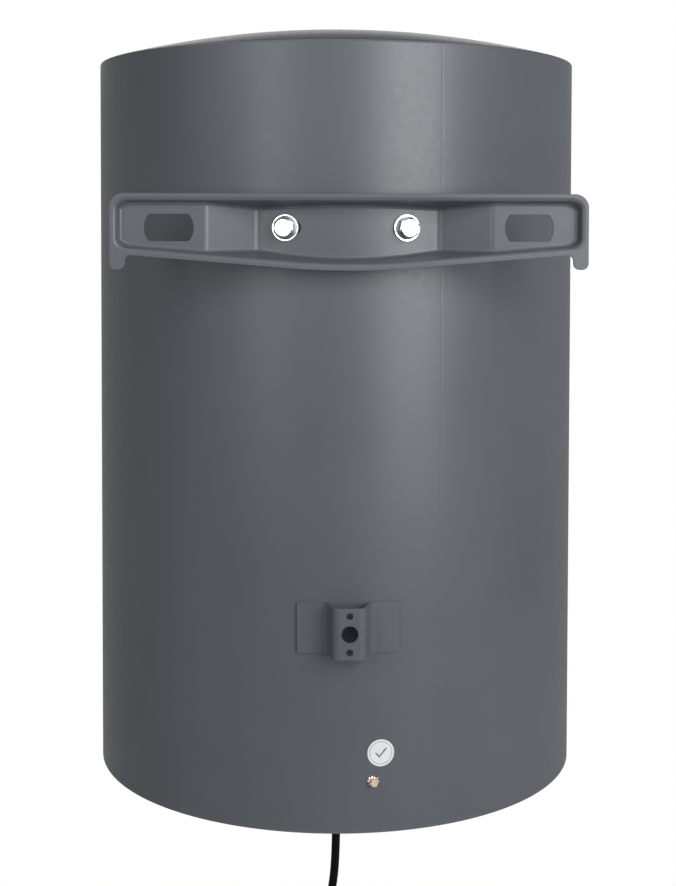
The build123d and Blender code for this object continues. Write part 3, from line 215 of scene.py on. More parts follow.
# Woven hook-and-loop strap: matt black, its loops drawn as 0.8 mm cells
def strapWeave():
    finish = newFinish("woven_strap", IOR=1.5, Sheen_Weight=0.25, Sheen_Roughness=0.5)
    tones = ("#1a1b1c", "#2b2c2e")
    return mottled(finish, tones, patch=3, grain=0.8, depth=0.25, gloss=(0.7, 0.9))


# Finishes by the record's slot names
jacketGrey = ("#565a60", "#5b5f65")
bracketGrey = ("#585c62", "#5d6167")
finishes = {
    "jacket_coat": powderCoat("powder_coat_jacket", jacketGrey, (0.34, 0.42)),
    "bracket_coat": powderCoat("powder_coat_bracket", bracketGrey, (0.32, 0.4)),
    "zinc_steel": brightZinc(),
    "tank_enamel": tankEnamel(),
    "bare_steel": rolledSteel(),
    "foam": rigidFoam(),
    "gasket_rubber": mouldedRubber(),
    "element_sheath": annealedSheath(),
    "magnesium": castMagnesium(),
    "brass": turnedBrass(),
    "cover_plastic": mouldedAbs("moulded_abs_graphite", ("#3c3f43", "#43464a"), (0.5, 0.62)),
    "control_plastic": mouldedAbs("moulded_abs_black", ("#131315", "#1a1a1c"), (0.42, 0.56)),
    "knob_plastic": mouldedAbs("moulded_abs_charcoal", ("#2a2c2f", "#313337"), (0.36, 0.48)),
    "red_plastic": mouldedAbs("moulded_abs_red", ("#a8221f", "#b52c27"), (0.3, 0.42)),
    "blue_plastic": mouldedAbs("moulded_abs_blue", ("#1f4f9c", "#285aa8"), (0.3, 0.42)),
    "lamp_lens": lampLens(),
    "white_plastic": mouldedAbs("moulded_abs_white", ("#d9d8d2", "#e4e3de"), (0.36, 0.48)),
    "sticker_film": printedFilm("printed_film_white", ("#dedfe1", "#e6e7e9")),
    "cord_sheath": extrudedPvc(),
    "tie_strap": strapWeave(),
    "pin_nickel": nickelPlate(),
}
lidCoat = powderCoat("powder_coat_lid", jacketGrey, (0.2, 0.26))  # the lid is a little glossier
# Darker zinc whose grey is painted shade, for the bolts' cone and hex flats
zincShadeCoat = shadedZinc()
stickerInk = printedFilm("printed_film_ink", ("#74767a", "#7d7f83"))
stickerRing = printedFilm("printed_film_ring", ("#a3a5a9", "#adafb2"))
paintWhite = printedFilm("pad_print_white", ("#dcdddd", "#e6e7e7"))

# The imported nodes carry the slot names, so each takes the finish of its slot
for node in nodes.values():
    slotName = node.data.materials[0].name.split(".")[0]
    node.material_slots[0].material = finishes[slotName]
print("finishes made:", len(finishes))


# Turns a mesh built in millimetres into a piece of the heater, in its slot's finish unless coats are given
def makePiece(bm, name, slotName, coats=(), body="heater", replaced=(), sharp=35.0):
    bmesh.ops.remove_doubles(bm, verts=bm.verts, dist=weld)
    bmesh.ops.recalc_face_normals(bm, faces=bm.faces)
    bmesh.ops.scale(bm, vec=Vector((mm, mm, mm)), verts=bm.verts)
    mesh = bpy.data.meshes.new(name)
    bm.to_mesh(mesh)
    bm.free()
    mesh.polygons.foreach_set("use_smooth", [True] * len(mesh.polygons))
    mesh.set_sharp_from_angle(angle=math.radians(sharp))
    for coat in coats or (finishes[slotName],):
        mesh.materials.append(coat)
    piece = bpy.data.objects.new(name, mesh)
    scene.collection.objects.link(piece)
    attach(piece, body)
    if replaced:
        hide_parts(*replaced)
    print("piece made:", name, len(mesh.polygons), "faces")
    return piece


# A chain of points in the half section, straight between them: radius from the axis and height
def profileChain(bm, points, axisX=0.0, axisY=heater["axisY"], closed=False):
    chain = [bm.verts.new((axisX + r, axisY, z)) for r, z in points]
    for first, second in zip(chain, chain[1:]):
        bm.edges.new((first, second))
    if closed:
        bm.edges.new((chain[-1], chain[0]))
    return chain


# Carries a point round a centre in the heater's half section, leaving an arc behind it
def profileArc(bm, point, centre, degrees, steps):
    turned = bmesh.ops.spin(
        bm,
        geom=[point],
        cent=(centre[0], heater["axisY"], centre[1]),
        axis=(0, 1, 0),
        angle=math.radians(degrees),
        steps=steps,
    )
    return next(v for v in turned["geom_last"] if isinstance(v, bmesh.types.BMVert))


# Draws a point out to another place in the heater's half section
def profileRun(bm, point, r, z):
    drawn = bmesh.ops.extrude_vert_indiv(bm, verts=[point])["verts"][0]
    drawn.co = (r, heater["axisY"], z)


def fullTurn(bm, steps, axisX=0.0, axisY=heater["axisY"]):
    bmesh.ops.spin(
        bm,
        geom=bm.verts[:] + bm.edges[:],
        cent=(axisX, axisY, 0),
        axis=(0, 0, 1),
        angle=math.tau,
        steps=steps,
        use_merge=True,
    )
    bmesh.ops.remove_doubles(bm, verts=bm.verts, dist=weld)


# The edges of one ring about the heater's axis
def ringEdges(bm, r, z, near=0.01):
    axis = Vector((0, heater["axisY"]))
    ring = {v for v in bm.verts if abs(v.co.z - z) < near and abs((v.co.xy - axis).length - r) < near}
    return [e for e in bm.edges if ring.issuperset(e.verts)]


def roundEdges(bm, edges, size, segments):
    return bmesh.ops.bevel(
        bm, geom=edges, offset=size, segments=segments, profile=0.5, affect="EDGES", material=-1
    )


# A place on the jacket: local z points out of it, local y up
def onJacket(angle, z, radius):
    turn = math.radians(angle)
    outward = Vector((math.sin(turn), math.cos(turn), 0))
    across = Vector((-math.cos(turn), math.sin(turn), 0))
    spot = Vector((0, heater["axisY"], z)) + outward * radius
    return Matrix.Translation(spot) @ Matrix((across, Vector((0, 0, 1)), outward)).transposed().to_4x4()


# Lays a flat shape on the jacket with its lower face lifted off it: x across, y up, z out of it
def layOnJacket(bm, angle, height, lift):
    radius = heater["radius"]
    lowest = min(v.co.z for v in bm.verts)
    for v in bm.verts:
        turn = math.radians(angle) - v.co.x / radius
        reach = radius + lift + v.co.z - lowest
        v.co = (reach * math.sin(turn), heater["axisY"] + reach * math.cos(turn), height + v.co.y)


# Jacket: a rolled sheet with its top edge turned in over the lid, and the fine groove of its seam
jacketLook = dict(
    sheet=0.8,
    lap=2.2,
    roll=1.9,
    rollSegments=6,
    rim=0.3,
    rimSegments=3,
    lapEdge=0.15,
    lapSegments=2,
    band=3.5,
    steps=320,
    seamAngle=-20.3,
    seamWidth=2.2,
    seamMargin=0.5,
    seamDepth=0.2,
)


# A shallow groove, with a cut beside it on either hand so that the wall there stays round
def cutSeam(bm, look):
    place = onJacket(look["seamAngle"], 0, heater["radius"])
    spot, across, outward = place.translation, place.col[0].to_3d(), place.col[2].to_3d()
    facesNear, lineNear, floorNear = 5.0, 0.05, 0.3  # how far off the seam they lie, seen from above
    half = look["seamWidth"] / 2
    margin = half + look["seamMargin"]

    def fromSeam(point):
        return (point.xy - spot.xy).length

    for side in (margin, -margin):
        faces = [f for f in bm.faces if fromSeam(f.calc_center_median()) < facesNear]
        touched = list({e for f in faces for e in f.edges}) + list({v for f in faces for v in f.verts})
        bmesh.ops.bisect_plane(bm, geom=faces + touched, plane_co=spot + across * side, plane_no=across)
    line = [e for e in bm.edges if all(fromSeam(v.co) < lineNear for v in e.verts)]
    cut = roundEdges(bm, line, half, 2)  # two segments, so that the groove's floor is one line of points
    floor = [v for v in cut["verts"] if fromSeam(v.co) < floorNear]
    bmesh.ops.translate(bm, vec=-outward * look["seamDepth"], verts=floor)
    print("seam cut:", len(line), "edges,", len(floor), "points")


def makeJacket(look):
    radius, top, bottom = heater["radius"], heater["top"], heater["bottom"]
    inside, lapped = radius - look["sheet"], radius - look["lap"]
    bm = bmesh.new()
    corners = (
        (radius, bottom),
        (radius, top),
        (lapped, top),
        (lapped, top - look["sheet"]),
        (inside, top - look["sheet"]),
        (inside, bottom),
    )
    profileChain(bm, corners, closed=True)
    fullTurn(bm, look["steps"])
    roundEdges(bm, ringEdges(bm, radius, top), look["roll"], look["rollSegments"])
    roundEdges(bm, ringEdges(bm, radius, bottom), look["rim"], look["rimSegments"])
    roundEdges(bm, ringEdges(bm, lapped, top), look["lapEdge"], look["lapSegments"])
    for height in (bottom + look["band"], top - look["band"]):
        everything = bm.verts[:] + bm.edges[:] + bm.faces[:]
        bmesh.ops.bisect_plane(bm, geom=everything, plane_co=(0, 0, height), plane_no=(0, 0, 1))
    # The first line of the wall is turned to where the seam is
    turn = Matrix.Rotation(math.radians(90 - look["seamAngle"]), 3, "Z")
    bmesh.ops.rotate(bm, cent=(0, heater["axisY"], 0), matrix=turn, verts=bm.verts)
    cutSeam(bm, look)
    makePiece(bm, "jacket_shell", "jacket_coat", replaced=("jacket",))


makeJacket(jacketLook)

# Top cover: a dished lid whose rounded edge drops inside the jacket's rim
lidLook = dict(
    skirtRadius=256.4, rise=35.0, corner=4.0, cornerRings=8, skirt=14.0, sheet=0.8, rings=30, steps=320
)


def makeLid(look):
    skirt, rise, corner = look["skirtRadius"], look["rise"], look["corner"]
    dome = (skirt**2 + rise**2) / (2 * rise)
    domeZ = heater["top"] + rise - dome
    sweep = math.asin((skirt - corner) / (dome - corner))
    cornerZ = domeZ + (dome - corner) * math.cos(sweep)
    bm = bmesh.new()
    point = profileChain(bm, [(0, domeZ + dome)])[0]
    point = profileArc(bm, point, (0, domeZ), math.degrees(sweep), look["rings"])
    point = profileArc(bm, point, (skirt - corner, cornerZ), 90 - math.degrees(sweep), look["cornerRings"])
    profileRun(bm, point, skirt, heater["top"] - look["skirt"])
    fullTurn(bm, look["steps"])
    lid = makePiece(bm, "top_lid", "jacket_coat", (lidCoat,), replaced=("top_cover",))
    wall = lid.modifiers.new("sheet", "SOLIDIFY")
    wall.thickness = look["sheet"] * mm
    wall.offset = -1.0


makeLid(lidLook)

# Sticker: a white disc with a grey ring and a plain tick, on the jacket's curve
stickerLook = dict(
    angle=-7.0,
    z=-499.5,
    radius=13.0,
    innerRings=(2.5, 5, 7.5),
    greyRing=(10.4, 11.1),
    outerRing=12.2,
    steps=96,
    lift=0.12,
    thickness=0.16,
)
tickLook = dict(points=((-4.6, -0.4), (-1.5, -3.6), (4.9, 3.9)), width=1.5, cuts=3, thickness=0.05)


def makeSticker(look):
    inner, outer = look["greyRing"]
    rings = (0, *look["innerRings"], inner, outer, look["outerRing"], look["radius"])
    bm = bmesh.new()
    profileChain(bm, [(r, 0) for r in rings], 0, 0)
    fullTurn(bm, look["steps"], 0, 0)
    bmesh.ops.recalc_face_normals(bm, faces=bm.faces)
    for face in bm.faces:
        face.material_index = 1 if inner < face.calc_center_median().length < outer else 0
    bmesh.ops.solidify(bm, geom=bm.faces[:], thickness=look["thickness"])
    layOnJacket(bm, look["angle"], look["z"], look["lift"])
    coats = (finishes["sticker_film"], stickerRing)
    makePiece(bm, "sticker", "sticker_film", coats, replaced=("inspection_sticker",))


def makeTick(look, sticker):
    bm = bmesh.new()
    half = look["width"] / 2
    points = [Vector(p) for p in look["points"]]
    for start, end in zip(points, points[1:]):
        along = (end - start).normalized()
        side = Vector((-along.y, along.x)) * half
        begin, finish = start - along * half, end + along * half
        corners = (begin + side, begin - side, finish - side, finish + side)
        bm.faces.new([bm.verts.new((*c, 0)) for c in corners])
    bmesh.ops.recalc_face_normals(bm, faces=bm.faces)
    bmesh.ops.subdivide_edges(bm, edges=bm.edges[:], cuts=look["cuts"], use_grid_fill=True)
    bmesh.ops.solidify(bm, geom=bm.faces[:], thickness=look["thickness"])
    layOnJacket(bm, sticker["angle"], sticker["z"], sticker["lift"] + sticker["thickness"])
    makePiece(bm, "sticker_tick", "sticker_film", (stickerInk,))


makeSticker(stickerLook)
makeTick(tickLook, stickerLook)

# Bracket bolts: a hex head with a round crown, on a flange with a flat rim. The crown and the rim are
# bright, and the cone and the flats between them take a rougher zinc whose darker grey is painted shade
boltLook = dict(
    places=((-12.05, 17), (13.25, 27)),
    seat=260.05,
    shank=6.0,
    length=28.0,
    rim=12.75,
    rimInside=11.2,
    rimTop=2.2,
    step=0.3,
    edge=0.35,
    coneTop=2.7,
    flats=18.0,
    crown=7.9,
    chamfer=30.0,
    head=11.5,
    steps=72,
)


# Draws a loop of edges out into a new ring of faces, and gives the loop at its far side
def drawLoop(bm, loop):
    drawn = bmesh.ops.extrude_edge_only(bm, edges=loop)["geom"]
    return [e for e in drawn if isinstance(e, bmesh.types.BMEdge) and e.is_boundary]


# The head's round crown slopes down to the hexagon, whose flats then drop to the flange
def addHexHead(bm, look):
    top = Matrix.Translation((0, 0, look["head"]))
    crown = bmesh.ops.create_circle(
        bm, cap_ends=True, radius=look["crown"], segments=look["steps"], matrix=top
    )["verts"]
    brow = drawLoop(bm, [e for e in bm.edges if e.verts[0] in crown])
    for v in {v for e in brow for v in e.verts}:
        turn = math.atan2(v.co.y, v.co.x)
        reach = look["flats"] / 2 / math.cos(turn % math.radians(60) - math.radians(30))
        drop = (reach - look["crown"]) * math.tan(math.radians(look["chamfer"]))
        v.co = (reach * math.cos(turn), reach * math.sin(turn), look["head"] - drop)
    foot = drawLoop(bm, brow)
    for v in {v for e in foot for v in e.verts}:
        v.co.z = look["coneTop"] - look["step"]
    # The hex flats take the darker zinc: painted shade
    for face in {f for e in foot for f in e.link_faces}:
        face.material_index = 1
    bmesh.ops.contextual_create(bm, geom=foot)


def makeBolts(look):
    rim, inside, rimTop, edge, step = (look[k] for k in ("rim", "rimInside", "rimTop", "edge", "step"))
    section = (
        (0, -look["length"]),
        (look["shank"], -look["length"]),
        (look["shank"], 0),
        (rim - edge, 0),
        (rim, edge),
        (rim, rimTop - edge),
        (rim - edge, rimTop),
        (inside, rimTop),
        (inside - step, rimTop - step),
        (look["flats"] / 2, look["coneTop"]),
        (0, look["coneTop"]),
    )
    bm = bmesh.new()
    profileChain(bm, section, 0, 0)
    fullTurn(bm, look["steps"], 0, 0)
    # The cone under the head takes the darker zinc: painted shade
    for face in bm.faces:
        middle = face.calc_center_median()
        face.material_index = 1 if middle.z > rimTop - step and middle.xy.length < inside else 0
    addHexHead(bm, look)
    first = bm.verts[:]
    copied = bmesh.ops.duplicate(bm, geom=first + bm.edges[:] + bm.faces[:])["geom"]
    second = [v for v in copied if isinstance(v, bmesh.types.BMVert)]
    for verts, (angle, turn) in zip((first, second), look["places"]):
        place = onJacket(angle, 0, look["seat"]) @ Matrix.Rotation(math.radians(turn), 4, "Z")
        bmesh.ops.transform(bm, matrix=place, verts=verts)
    # The second coat is the darker zinc, painted shade on the cone and flats
    coats = (finishes["zinc_steel"], zincShadeCoat)
    makePiece(bm, "flange_bolts_bright", "zinc_steel", coats, replaced=("bracket_bolts",), sharp=25.0)


makeBolts(boltLook)

# Toothed washer of the earth point: a flat ring with ten teeth that are twisted to bite
washerLook = dict(
    angle=-5.4,
    z=-526.4,
    seat=257.6,
    bore=2.15,
    ring=3.9,
    tip=5.45,
    sheet=0.55,
    steps=60,
    teeth=10,
    toothWidth=1.75,
    toothFoot=0.5,
    toothLift=0.12,
    twist=26.0,
)


def makeWasher(look):
    bore, ring, tip, sheet = (look[k] for k in ("bore", "ring", "tip", "sheet"))
    bm = bmesh.new()
    profileChain(bm, ((bore, 0), (ring, 0), (ring, sheet), (bore, sheet)), 0, 0, closed=True)
    fullTurn(bm, look["steps"], 0, 0)
    foot = ring - look["toothFoot"]
    middle = Matrix.Translation(((tip + foot) / 2, 0, sheet / 2 + look["toothLift"]))
    blank = Matrix.Diagonal((tip - foot, look["toothWidth"], sheet, 1))
    tooth = bmesh.ops.create_cube(bm, size=1.0, matrix=middle @ blank)["verts"]
    outer = [v for v in tooth if v.co.x > ring]
    twist = Matrix.Rotation(math.radians(look["twist"]), 3, "X")
    bmesh.ops.rotate(bm, cent=middle.translation, matrix=twist, verts=outer)
    edges = [e for e in bm.edges if e.verts[0] in tooth]
    faces = [f for f in bm.faces if f.verts[0] in tooth]
    more = look["teeth"] - 1
    bmesh.ops.spin(
        bm,
        geom=tooth + edges + faces,
        cent=(0, 0, 0),
        axis=(0, 0, 1),
        angle=math.tau * more / look["teeth"],
        steps=more,
        use_duplicate=True,
    )
    bmesh.ops.transform(bm, matrix=onJacket(look["angle"], look["z"], look["seat"]), verts=bm.verts)
    makePiece(bm, "earth_tooth_washer", "zinc_steel", replaced=("earth_washer",))


makeWasher(washerLook)

# Water pipes: turned steel tubes with a G 1/2 thread of 55 degrees cut on the lowest 22 mm
pipeLook = dict(
    y=-193.0,
    bottom=-606.5,
    bore=8.0,
    boreChamfer=(0.4, 0.5),
    shank=10.3,
    endChamfer=0.3,
    shoulder=1.0,
    steps=56,
)
threadLook = dict(
    root=9.35,
    crest=10.46,
    pitch=1.814,
    flankAngle=27.5,
    cut=22.0,
    start=0.1,
    runOut=1.6,
    sunk=0.2,
    leadSlope=0.9,
    leadPast=0.4,
    leadSunk=0.15,
)
pipePlaces = (
    dict(name="cold_pipe", node="cold_inlet_pipe", x=50.0, top=-494.8),
    dict(name="hot_pipe", node="hot_outlet_pipe", x=-50.0, top=117.8),
)


# One ridge wound up the pipe. It starts and runs out on a cone, as the die's lead leaves it
def windThread(bm, look, steps, x, y, low):
    root, crest, pitch, cutTop = look["root"], look["crest"], look["pitch"], low + look["cut"]
    flat = pitch / 12  # half of the crest's width
    half = flat + (crest - root) * math.tan(math.radians(look["flankAngle"]))
    foot, first = root - look["sunk"], low + half + look["start"]
    ridge = ((foot, first - half), (crest, first - flat), (crest, first + flat), (foot, first + half))
    corners = profileChain(bm, ridge, x, y, closed=True)
    edges = [e for e in bm.edges if e.verts[0] in corners and e.verts[1] in corners]
    turns = int((look["cut"] - look["runOut"]) / pitch)
    wound = bmesh.ops.spin(
        bm,
        geom=corners + edges,
        cent=(x, y, 0),
        axis=(0, 0, 1),
        dvec=(0, 0, pitch / steps),
        angle=math.tau * turns,
        steps=steps * turns,
    )["geom_last"]
    for end in (edges, [e for e in wound if isinstance(e, bmesh.types.BMEdge)]):
        bmesh.ops.contextual_create(bm, geom=end)
    # The ridge's own points stand proud of the root and end below the shoulder
    proud, shoulder = root + 0.05, cutTop - 0.5
    for v in bm.verts:
        away = Vector((v.co.x - x, v.co.y - y))
        lead = root + look["leadSlope"] * min(v.co.z - low, cutTop - v.co.z + look["leadPast"])
        if v.co.z < shoulder and away.length > max(proud, lead):
            away *= max(lead, root - look["leadSunk"]) / away.length
            v.co.x, v.co.y = x + away.x, y + away.y


def makePipe(look, thread, pipe):
    x, y, low, high = pipe["x"], look["y"], look["bottom"], pipe["top"]
    bore, shank, root, chamfer = look["bore"], look["shank"], thread["root"], look["endChamfer"]
    wider, deeper = look["boreChamfer"]
    cutTop = low + thread["cut"]
    section = (
        (bore, high),
        (bore, low + deeper),
        (bore + wider, low),
        (root - chamfer, low),
        (root, low + chamfer),
        (root, cutTop - look["shoulder"]),
        (shank, cutTop),
        (shank, high),
    )
    bm = bmesh.new()
    profileChain(bm, section, x, y, closed=True)
    fullTurn(bm, look["steps"], x, y)
    windThread(bm, thread, look["steps"], x, y, low)
    makePiece(bm, pipe["name"], "bare_steel", replaced=(pipe["node"],), sharp=28.0)


for pipe in pipePlaces:
    makePipe(pipeLook, threadLook, pipe)

# Dial: painted strokes round the knob's well that grow towards hot, and the pointer on the knob itself
dialLook = dict(
    y=-311.0,
    z=-614.5,
    ring=30.5,
    sweep=135.0,
    strokes=11,
    shortest=2.4,
    longest=6.6,
    width=1.1,
    paint=0.08,
)
pointerLook = dict(
    y=-311.0, z=-620.1, start=7.5, end=18.2, width=1.8, rise=0.3, sunk=0.2, corner=0.7, cornerSegments=4
)


def makeDial(look):
    centre = Matrix.Translation((0, look["y"], look["z"] - look["paint"] / 2))
    bm = bmesh.new()
    for count in range(look["strokes"]):
        share = count / (look["strokes"] - 1)
        length = look["shortest"] + (look["longest"] - look["shortest"]) * share
        turn = Matrix.Rotation(math.radians(look["sweep"] * (2 * share - 1)), 4, "Z")
        stroke = Matrix.Translation((0, -look["ring"] - length / 2, 0))
        size = Matrix.Diagonal((look["width"], length, look["paint"], 1))
        bmesh.ops.create_cube(bm, size=1.0, matrix=centre @ turn @ stroke @ size)
    makePiece(bm, "dial_strokes", "white_plastic", (paintWhite,))


def makePointer(look):
    length, height = look["end"] - look["start"], look["rise"] + look["sunk"]
    y, z = look["y"] - look["start"] - length / 2, look["z"] - look["rise"] + height / 2
    size = Matrix.Diagonal((look["width"], length, height, 1))
    bm = bmesh.new()
    bmesh.ops.create_cube(bm, size=1.0, matrix=Matrix.Translation((0, y, z)) @ size)
    upright = [e for e in bm.edges if abs(e.verts[0].co.z - e.verts[1].co.z) > height / 2]
    roundEdges(bm, upright, look["corner"], look["cornerSegments"])
    makePiece(bm, "knob_pointer", "white_plastic", (paintWhite,), body="temperature_knob")


makeDial(dialLook)
makePointer(pointerLook)

# Supply cord: down from the strain relief, into the coil tied up below the picture, then to the plug
cordLook = dict(
    diameter=9.2,
    length=1555.0,
    route=((0, -250, -650.5), (0, -250, -679), (2.4, -250, -722), (12, -250, -766), (12, -250, -798.8)),
    coilX=-48.0,
    coilLevel=-808.0,
    coilStep=9.8,
    coilOuter=60.0,
    halfTurnsIn=4,
    halfTurnsOut=4,
    pointsPerHalfTurn=8,
    tailEnd=-888.2,
    smoothness=8,
    onCord=("cord_relief", "cord_tie", "plug_body", "plug_earth_clips", "plug_pins"),
)


# Where each half turn of the coil begins and ends: it spirals in, steps to a second layer and spirals out
def coilJoints(look):
    step, reach, y = look["coilStep"], look["coilOuter"], look["route"][-1][1]
    joints = []
    for count in range(look["halfTurnsIn"] + look["halfTurnsOut"] + 1):
        side = 1 if count % 2 == 0 else -1
        layer = 0 if count < look["halfTurnsIn"] else 1
        joints.append(Vector((look["coilX"] + side * reach, y - layer * step, look["coilLevel"])))
        if count < look["halfTurnsIn"]:
            reach -= step / 2
        else:
            reach += step if count == look["halfTurnsIn"] else step / 2
    return joints


def cordPoints(look):
    points = [Vector(p) for p in look["route"]]
    joints = coilJoints(look)
    perHalf = look["pointsPerHalfTurn"]
    reachOut = 1 / math.cos(math.pi / (2 * perHalf))  # points stand outside, so the spline is on the turn
    for count, (start, end) in enumerate(zip(joints, joints[1:])):
        middle, half = (start + end) / 2, (start - end).x / 2
        for step in range(perHalf):
            share = (step + 0.5) / perHalf
            x = middle.x + half * reachOut * math.cos(math.pi * share)
            lift = abs(half) * reachOut * math.sin(math.pi * share)
            y = start.y + (end.y - start.y) * share
            points.append(Vector((x, y, middle.z + (lift if count % 2 else -lift))))
    last = joints[-1]
    points.append(Vector((last.x, last.y, last.z - look["diameter"])))
    points.append(Vector((last.x, last.y, look["tailEnd"])))
    return points


def makeCord(look):
    curve = bpy.data.curves.new("supply_cord", "CURVE")
    curve.dimensions = "3D"
    points = cordPoints(look)
    spline = curve.splines.new("NURBS")
    spline.points.add(len(points) - 1)
    for slot, point in zip(spline.points, points):
        slot.co = (*(point * mm), 1.0)
    spline.order_u = 3
    spline.use_endpoint_u = True
    curve.resolution_u = look["smoothness"]
    curve.bevel_depth = look["diameter"] / 2 * mm
    curve.bevel_resolution = look["smoothness"]
    curve.use_fill_caps = True
    curve.materials.append(finishes["cord_sheath"])
    cord = bpy.data.objects.new("supply_cord", curve)
    scene.collection.objects.link(cord)
    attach(cord, "heater")
    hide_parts("power_cord", "cord_coil", "cord_tail")
    print("cord made:", len(points), "points")


makeCord(cordLook)


# 1 where the camera, a reflection or a clear lens looks straight at it, and 0 for the light it gives off
def seenDirectly(tree):
    path = addNode(tree, "ShaderNodeLightPath")
    first = addNode(
        tree,
        "ShaderNodeMath",
        links={0: path.outputs["Is Camera Ray"], 1: path.outputs["Is Glossy Ray"]},
        operation="MAXIMUM",
    )
    second = addNode(
        tree,
        "ShaderNodeMath",
        links={0: first.outputs[0], 1: path.outputs["Is Transmission Ray"]},
        operation="MAXIMUM",
    )
    return second.outputs[0]


# A stage material starts with no nodes at all
def emptyFinish(name):
    finish = bpy.data.materials.new(name)
    finish.use_nodes = True
    finish.node_tree.nodes.clear()
    return finish, finish.node_tree


# Stands a mesh built in millimetres in the studio, apart from the heater
def makeStage(bm, name, finish):
    bmesh.ops.scale(bm, vec=Vector((mm, mm, mm)), verts=bm.verts)
    mesh = bpy.data.meshes.new(name)
    bm.to_mesh(mesh)
    bm.free()
    mesh.materials.append(finish)
    stage = bpy.data.objects.new(name, mesh)
    scene.collection.objects.link(stage)
    return stage


# Floor, far enough under the hanging plug to stay out of the picture's middle
floorLook = dict(size=14000.0, drop=200.0, tone="#d2d2d4", glow=0.86, shadowReach=550.0, clear=1050.0)
floorLevel = cadBox[0].z / mm - floorLook["drop"]


def backdropPaper(look, middle):
    paper, tree = emptyFinish("backdrop_paper")
    matt = addNode(tree, "ShaderNodeBsdfDiffuse", {"Color": linear(look["tone"])})
    white = addNode(tree, "ShaderNodeEmission", {"Color": (1, 1, 1, 1), "Strength": 1.0})
    place = addNode(tree, "ShaderNodeTexCoord").outputs["Object"]
    away = addNode(tree, "ShaderNodeVectorMath", {1: middle * mm}, {0: place}, operation="DISTANCE")
    near, far = look["shadowReach"] * mm, look["clear"] * mm
    glow = addNode(
        tree,
        "ShaderNodeMapRange",
        {"From Min": near, "From Max": far, "To Min": look["glow"], "To Max": 1.0},
        {"Value": away.outputs["Value"]},
        interpolation_type="SMOOTHSTEP",
    )
    share = addNode(
        tree,
        "ShaderNodeMath",
        links={0: seenDirectly(tree), 1: glow.outputs["Result"]},
        operation="MULTIPLY",
    )
    mixed = addNode(
        tree,
        "ShaderNodeMixShader",
        links={"Fac": share.outputs[0], 1: matt.outputs[0], 2: white.outputs[0]},
    )
    # The paper is clear from below, so that the underside of the heater can be looked at
    below = addNode(tree, "ShaderNodeNewGeometry").outputs["Backfacing"]
    clear = addNode(tree, "ShaderNodeBsdfTransparent")
    oneSided = addNode(
        tree, "ShaderNodeMixShader", links={"Fac": below, 1: mixed.outputs[0], 2: clear.outputs[0]}
    )
    addNode(tree, "ShaderNodeOutputMaterial", links={"Surface": oneSided.outputs[0]})
    return paper


def makeFloor(look):
    middle = Vector((0, heater["axisY"], floorLevel))
    bm = bmesh.new()
    bmesh.ops.create_grid(bm, x_segments=1, y_segments=1, size=look["size"] / 2)
    bmesh.ops.translate(bm, vec=middle, verts=bm.verts)
    makeStage(bm, "floor", backdropPaper(look, middle))


makeFloor(floorLook)

# Studio: white all round where it is looked at, a low even fill, and soft boxes
worldLook = dict(fill=0.2)


def makeWorld(look):
    world = bpy.data.worlds.new("studio")
    scene.world = world
    world.use_nodes = True
    tree = world.node_tree
    tree.nodes.clear()
    strength = addNode(
        tree, "ShaderNodeMapRange", {"To Min": look["fill"], "To Max": 1.0}, {"Value": seenDirectly(tree)}
    )
    glow = addNode(
        tree, "ShaderNodeBackground", {"Color": (1, 1, 1, 1)}, {"Strength": strength.outputs["Result"]}
    )
    addNode(tree, "ShaderNodeOutputWorld", links={"Surface": glow.outputs[0]})


makeWorld(worldLook)

# Grey studio flags round the far side and low before the wall side: they stand out of sight and give no
# light, and only the gloss of the coat shows them. Sections are radius from the heater's axis and height
flagFoot = floorLevel + 15.0  # just clear of the floor
flagReach, flagTop, sideTop, rearTop, lowTop = 3400, 3400, 1350, 560, -300
flagStart, lowStart = 800, 1150
sideWall = ((flagStart, flagFoot), (flagReach, flagFoot), (flagReach, sideTop))
rearWall = ((flagStart, flagFoot), (flagReach, flagFoot), (flagReach, rearTop))
lowWall = ((lowStart, flagFoot), (flagReach, flagFoot), (flagReach, lowTop))
highWall = ((flagReach, sideTop), (flagReach, flagTop))
studioFlags = (
    dict(name="left_flag", bearings=(66, 150), section=sideWall, grey=0.36),
    dict(name="right_flag", bearings=(210, 294), section=sideWall, grey=0.36),
    dict(name="rear_flag", bearings=(150, 210), section=rearWall, grey=0.36),
    dict(name="high_flag", bearings=(66, 294), section=highWall, grey=0.08),
    dict(name="wall_side_flag", bearings=(-62, 62), section=lowWall, grey=0.06),
)


def makeFlag(look, steps=48):
    start, end = look["bearings"]
    axis = (0, heater["axisY"], 0)
    bm = bmesh.new()
    profileChain(bm, look["section"])
    turn = Matrix.Rotation(math.radians(90 - start), 3, "Z")
    bmesh.ops.rotate(bm, cent=axis, matrix=turn, verts=bm.verts)
    bmesh.ops.spin(
        bm,
        geom=bm.verts[:] + bm.edges[:],
        cent=axis,
        axis=(0, 0, 1),
        angle=math.radians(start - end),
        steps=steps,
    )
    cloth, tree = emptyFinish("flag_cloth")
    grey = addNode(tree, "ShaderNodeEmission", {"Color": (1, 1, 1, 1), "Strength": look["grey"]})
    addNode(tree, "ShaderNodeOutputMaterial", links={"Surface": grey.outputs[0]})
    flag = makeStage(bm, look["name"], cloth)
    flag.visible_camera = False
    flag.visible_diffuse = False
    flag.visible_shadow = False
    flag.visible_transmission = False


for look in studioFlags:
    makeFlag(look)

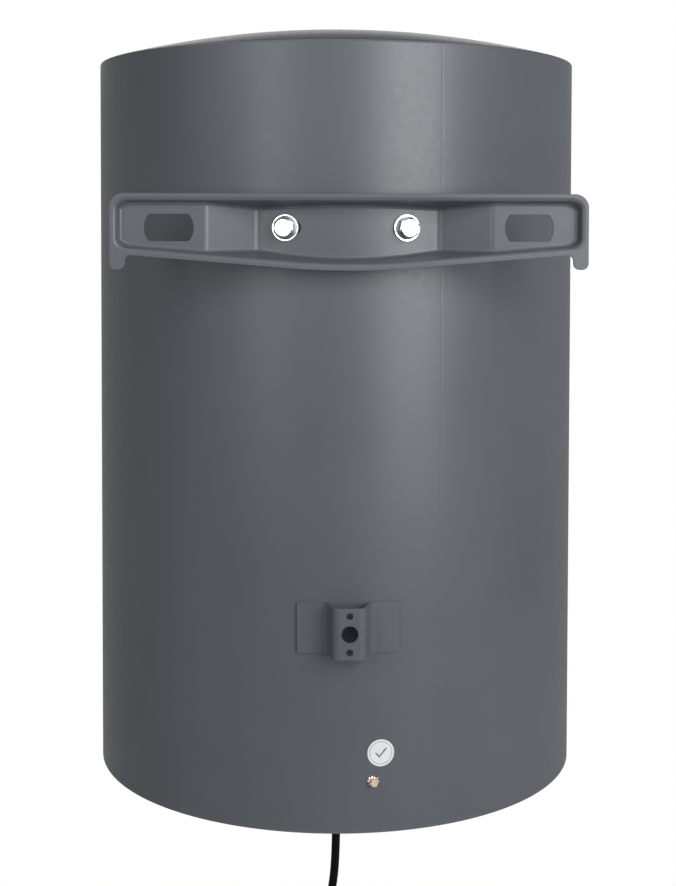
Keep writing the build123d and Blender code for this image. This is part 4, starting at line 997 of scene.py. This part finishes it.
# Soft boxes: bearing is counted from the wall side towards +X, as on the heater; distance from its axis
softBoxes = (
    dict(name="key", bearing=-31, distance=2600, height=520, width=1350, tall=2000, watts=53),
    dict(name="fill", bearing=32, distance=2600, height=560, width=800, tall=1900, watts=13),
    dict(name="front", bearing=180, distance=2600, height=-250, width=600, tall=1300, watts=18),
)


def makeSoftBox(look):
    lamp = bpy.data.lights.new(look["name"], "AREA")
    lamp.shape = "RECTANGLE"
    lamp.size = look["width"] * mm
    lamp.size_y = look["tall"] * mm
    lamp.energy = look["watts"]
    box = bpy.data.objects.new(look["name"], lamp)
    scene.collection.objects.link(box)
    turn = math.radians(look["bearing"])
    axis = Vector((0, heater["axisY"], 0))
    outward = Vector((math.sin(turn), math.cos(turn), 0))
    spot = axis + outward * look["distance"] + Vector((0, 0, look["height"]))
    aim = axis + Vector((0, 0, (heater["top"] + heater["bottom"]) / 2))
    box.location = spot * mm
    box.rotation_mode = "QUATERNION"
    box.rotation_quaternion = (aim - spot).to_track_quat("-Z", "Y")


for look in softBoxes:
    makeSoftBox(look)

# Camera at the picture's place, with the lens and shift that its framing needs
cameraLook = dict(
    place=(81.0, 1372.0, -0.3),
    yaw=-2.652,
    pitch=-2.128,
    roll=0.104,
    lens=60.613,
    sensor=36.0,
    shift=(0.00706, -0.18),
)


def makeCamera(look):
    data = bpy.data.cameras.new("camera")
    data.lens = look["lens"]
    data.sensor_width = look["sensor"]
    data.shift_x, data.shift_y = look["shift"]
    camera = bpy.data.objects.new("camera", data)
    scene.collection.objects.link(camera)
    yaw, pitch = math.radians(look["yaw"]), math.radians(look["pitch"])
    ahead = Vector((math.sin(yaw) * math.cos(pitch), -math.cos(yaw) * math.cos(pitch), math.sin(pitch)))
    camera.location = Vector(look["place"]) * mm
    camera.rotation_mode = "QUATERNION"
    level = ahead.to_track_quat("-Z", "Y")
    camera.rotation_quaternion = level @ Quaternion((0, 0, 1), math.radians(look["roll"]))
    scene.camera = camera


makeCamera(cameraLook)
scene.view_settings.view_transform = "Standard"
print("studio and camera set")
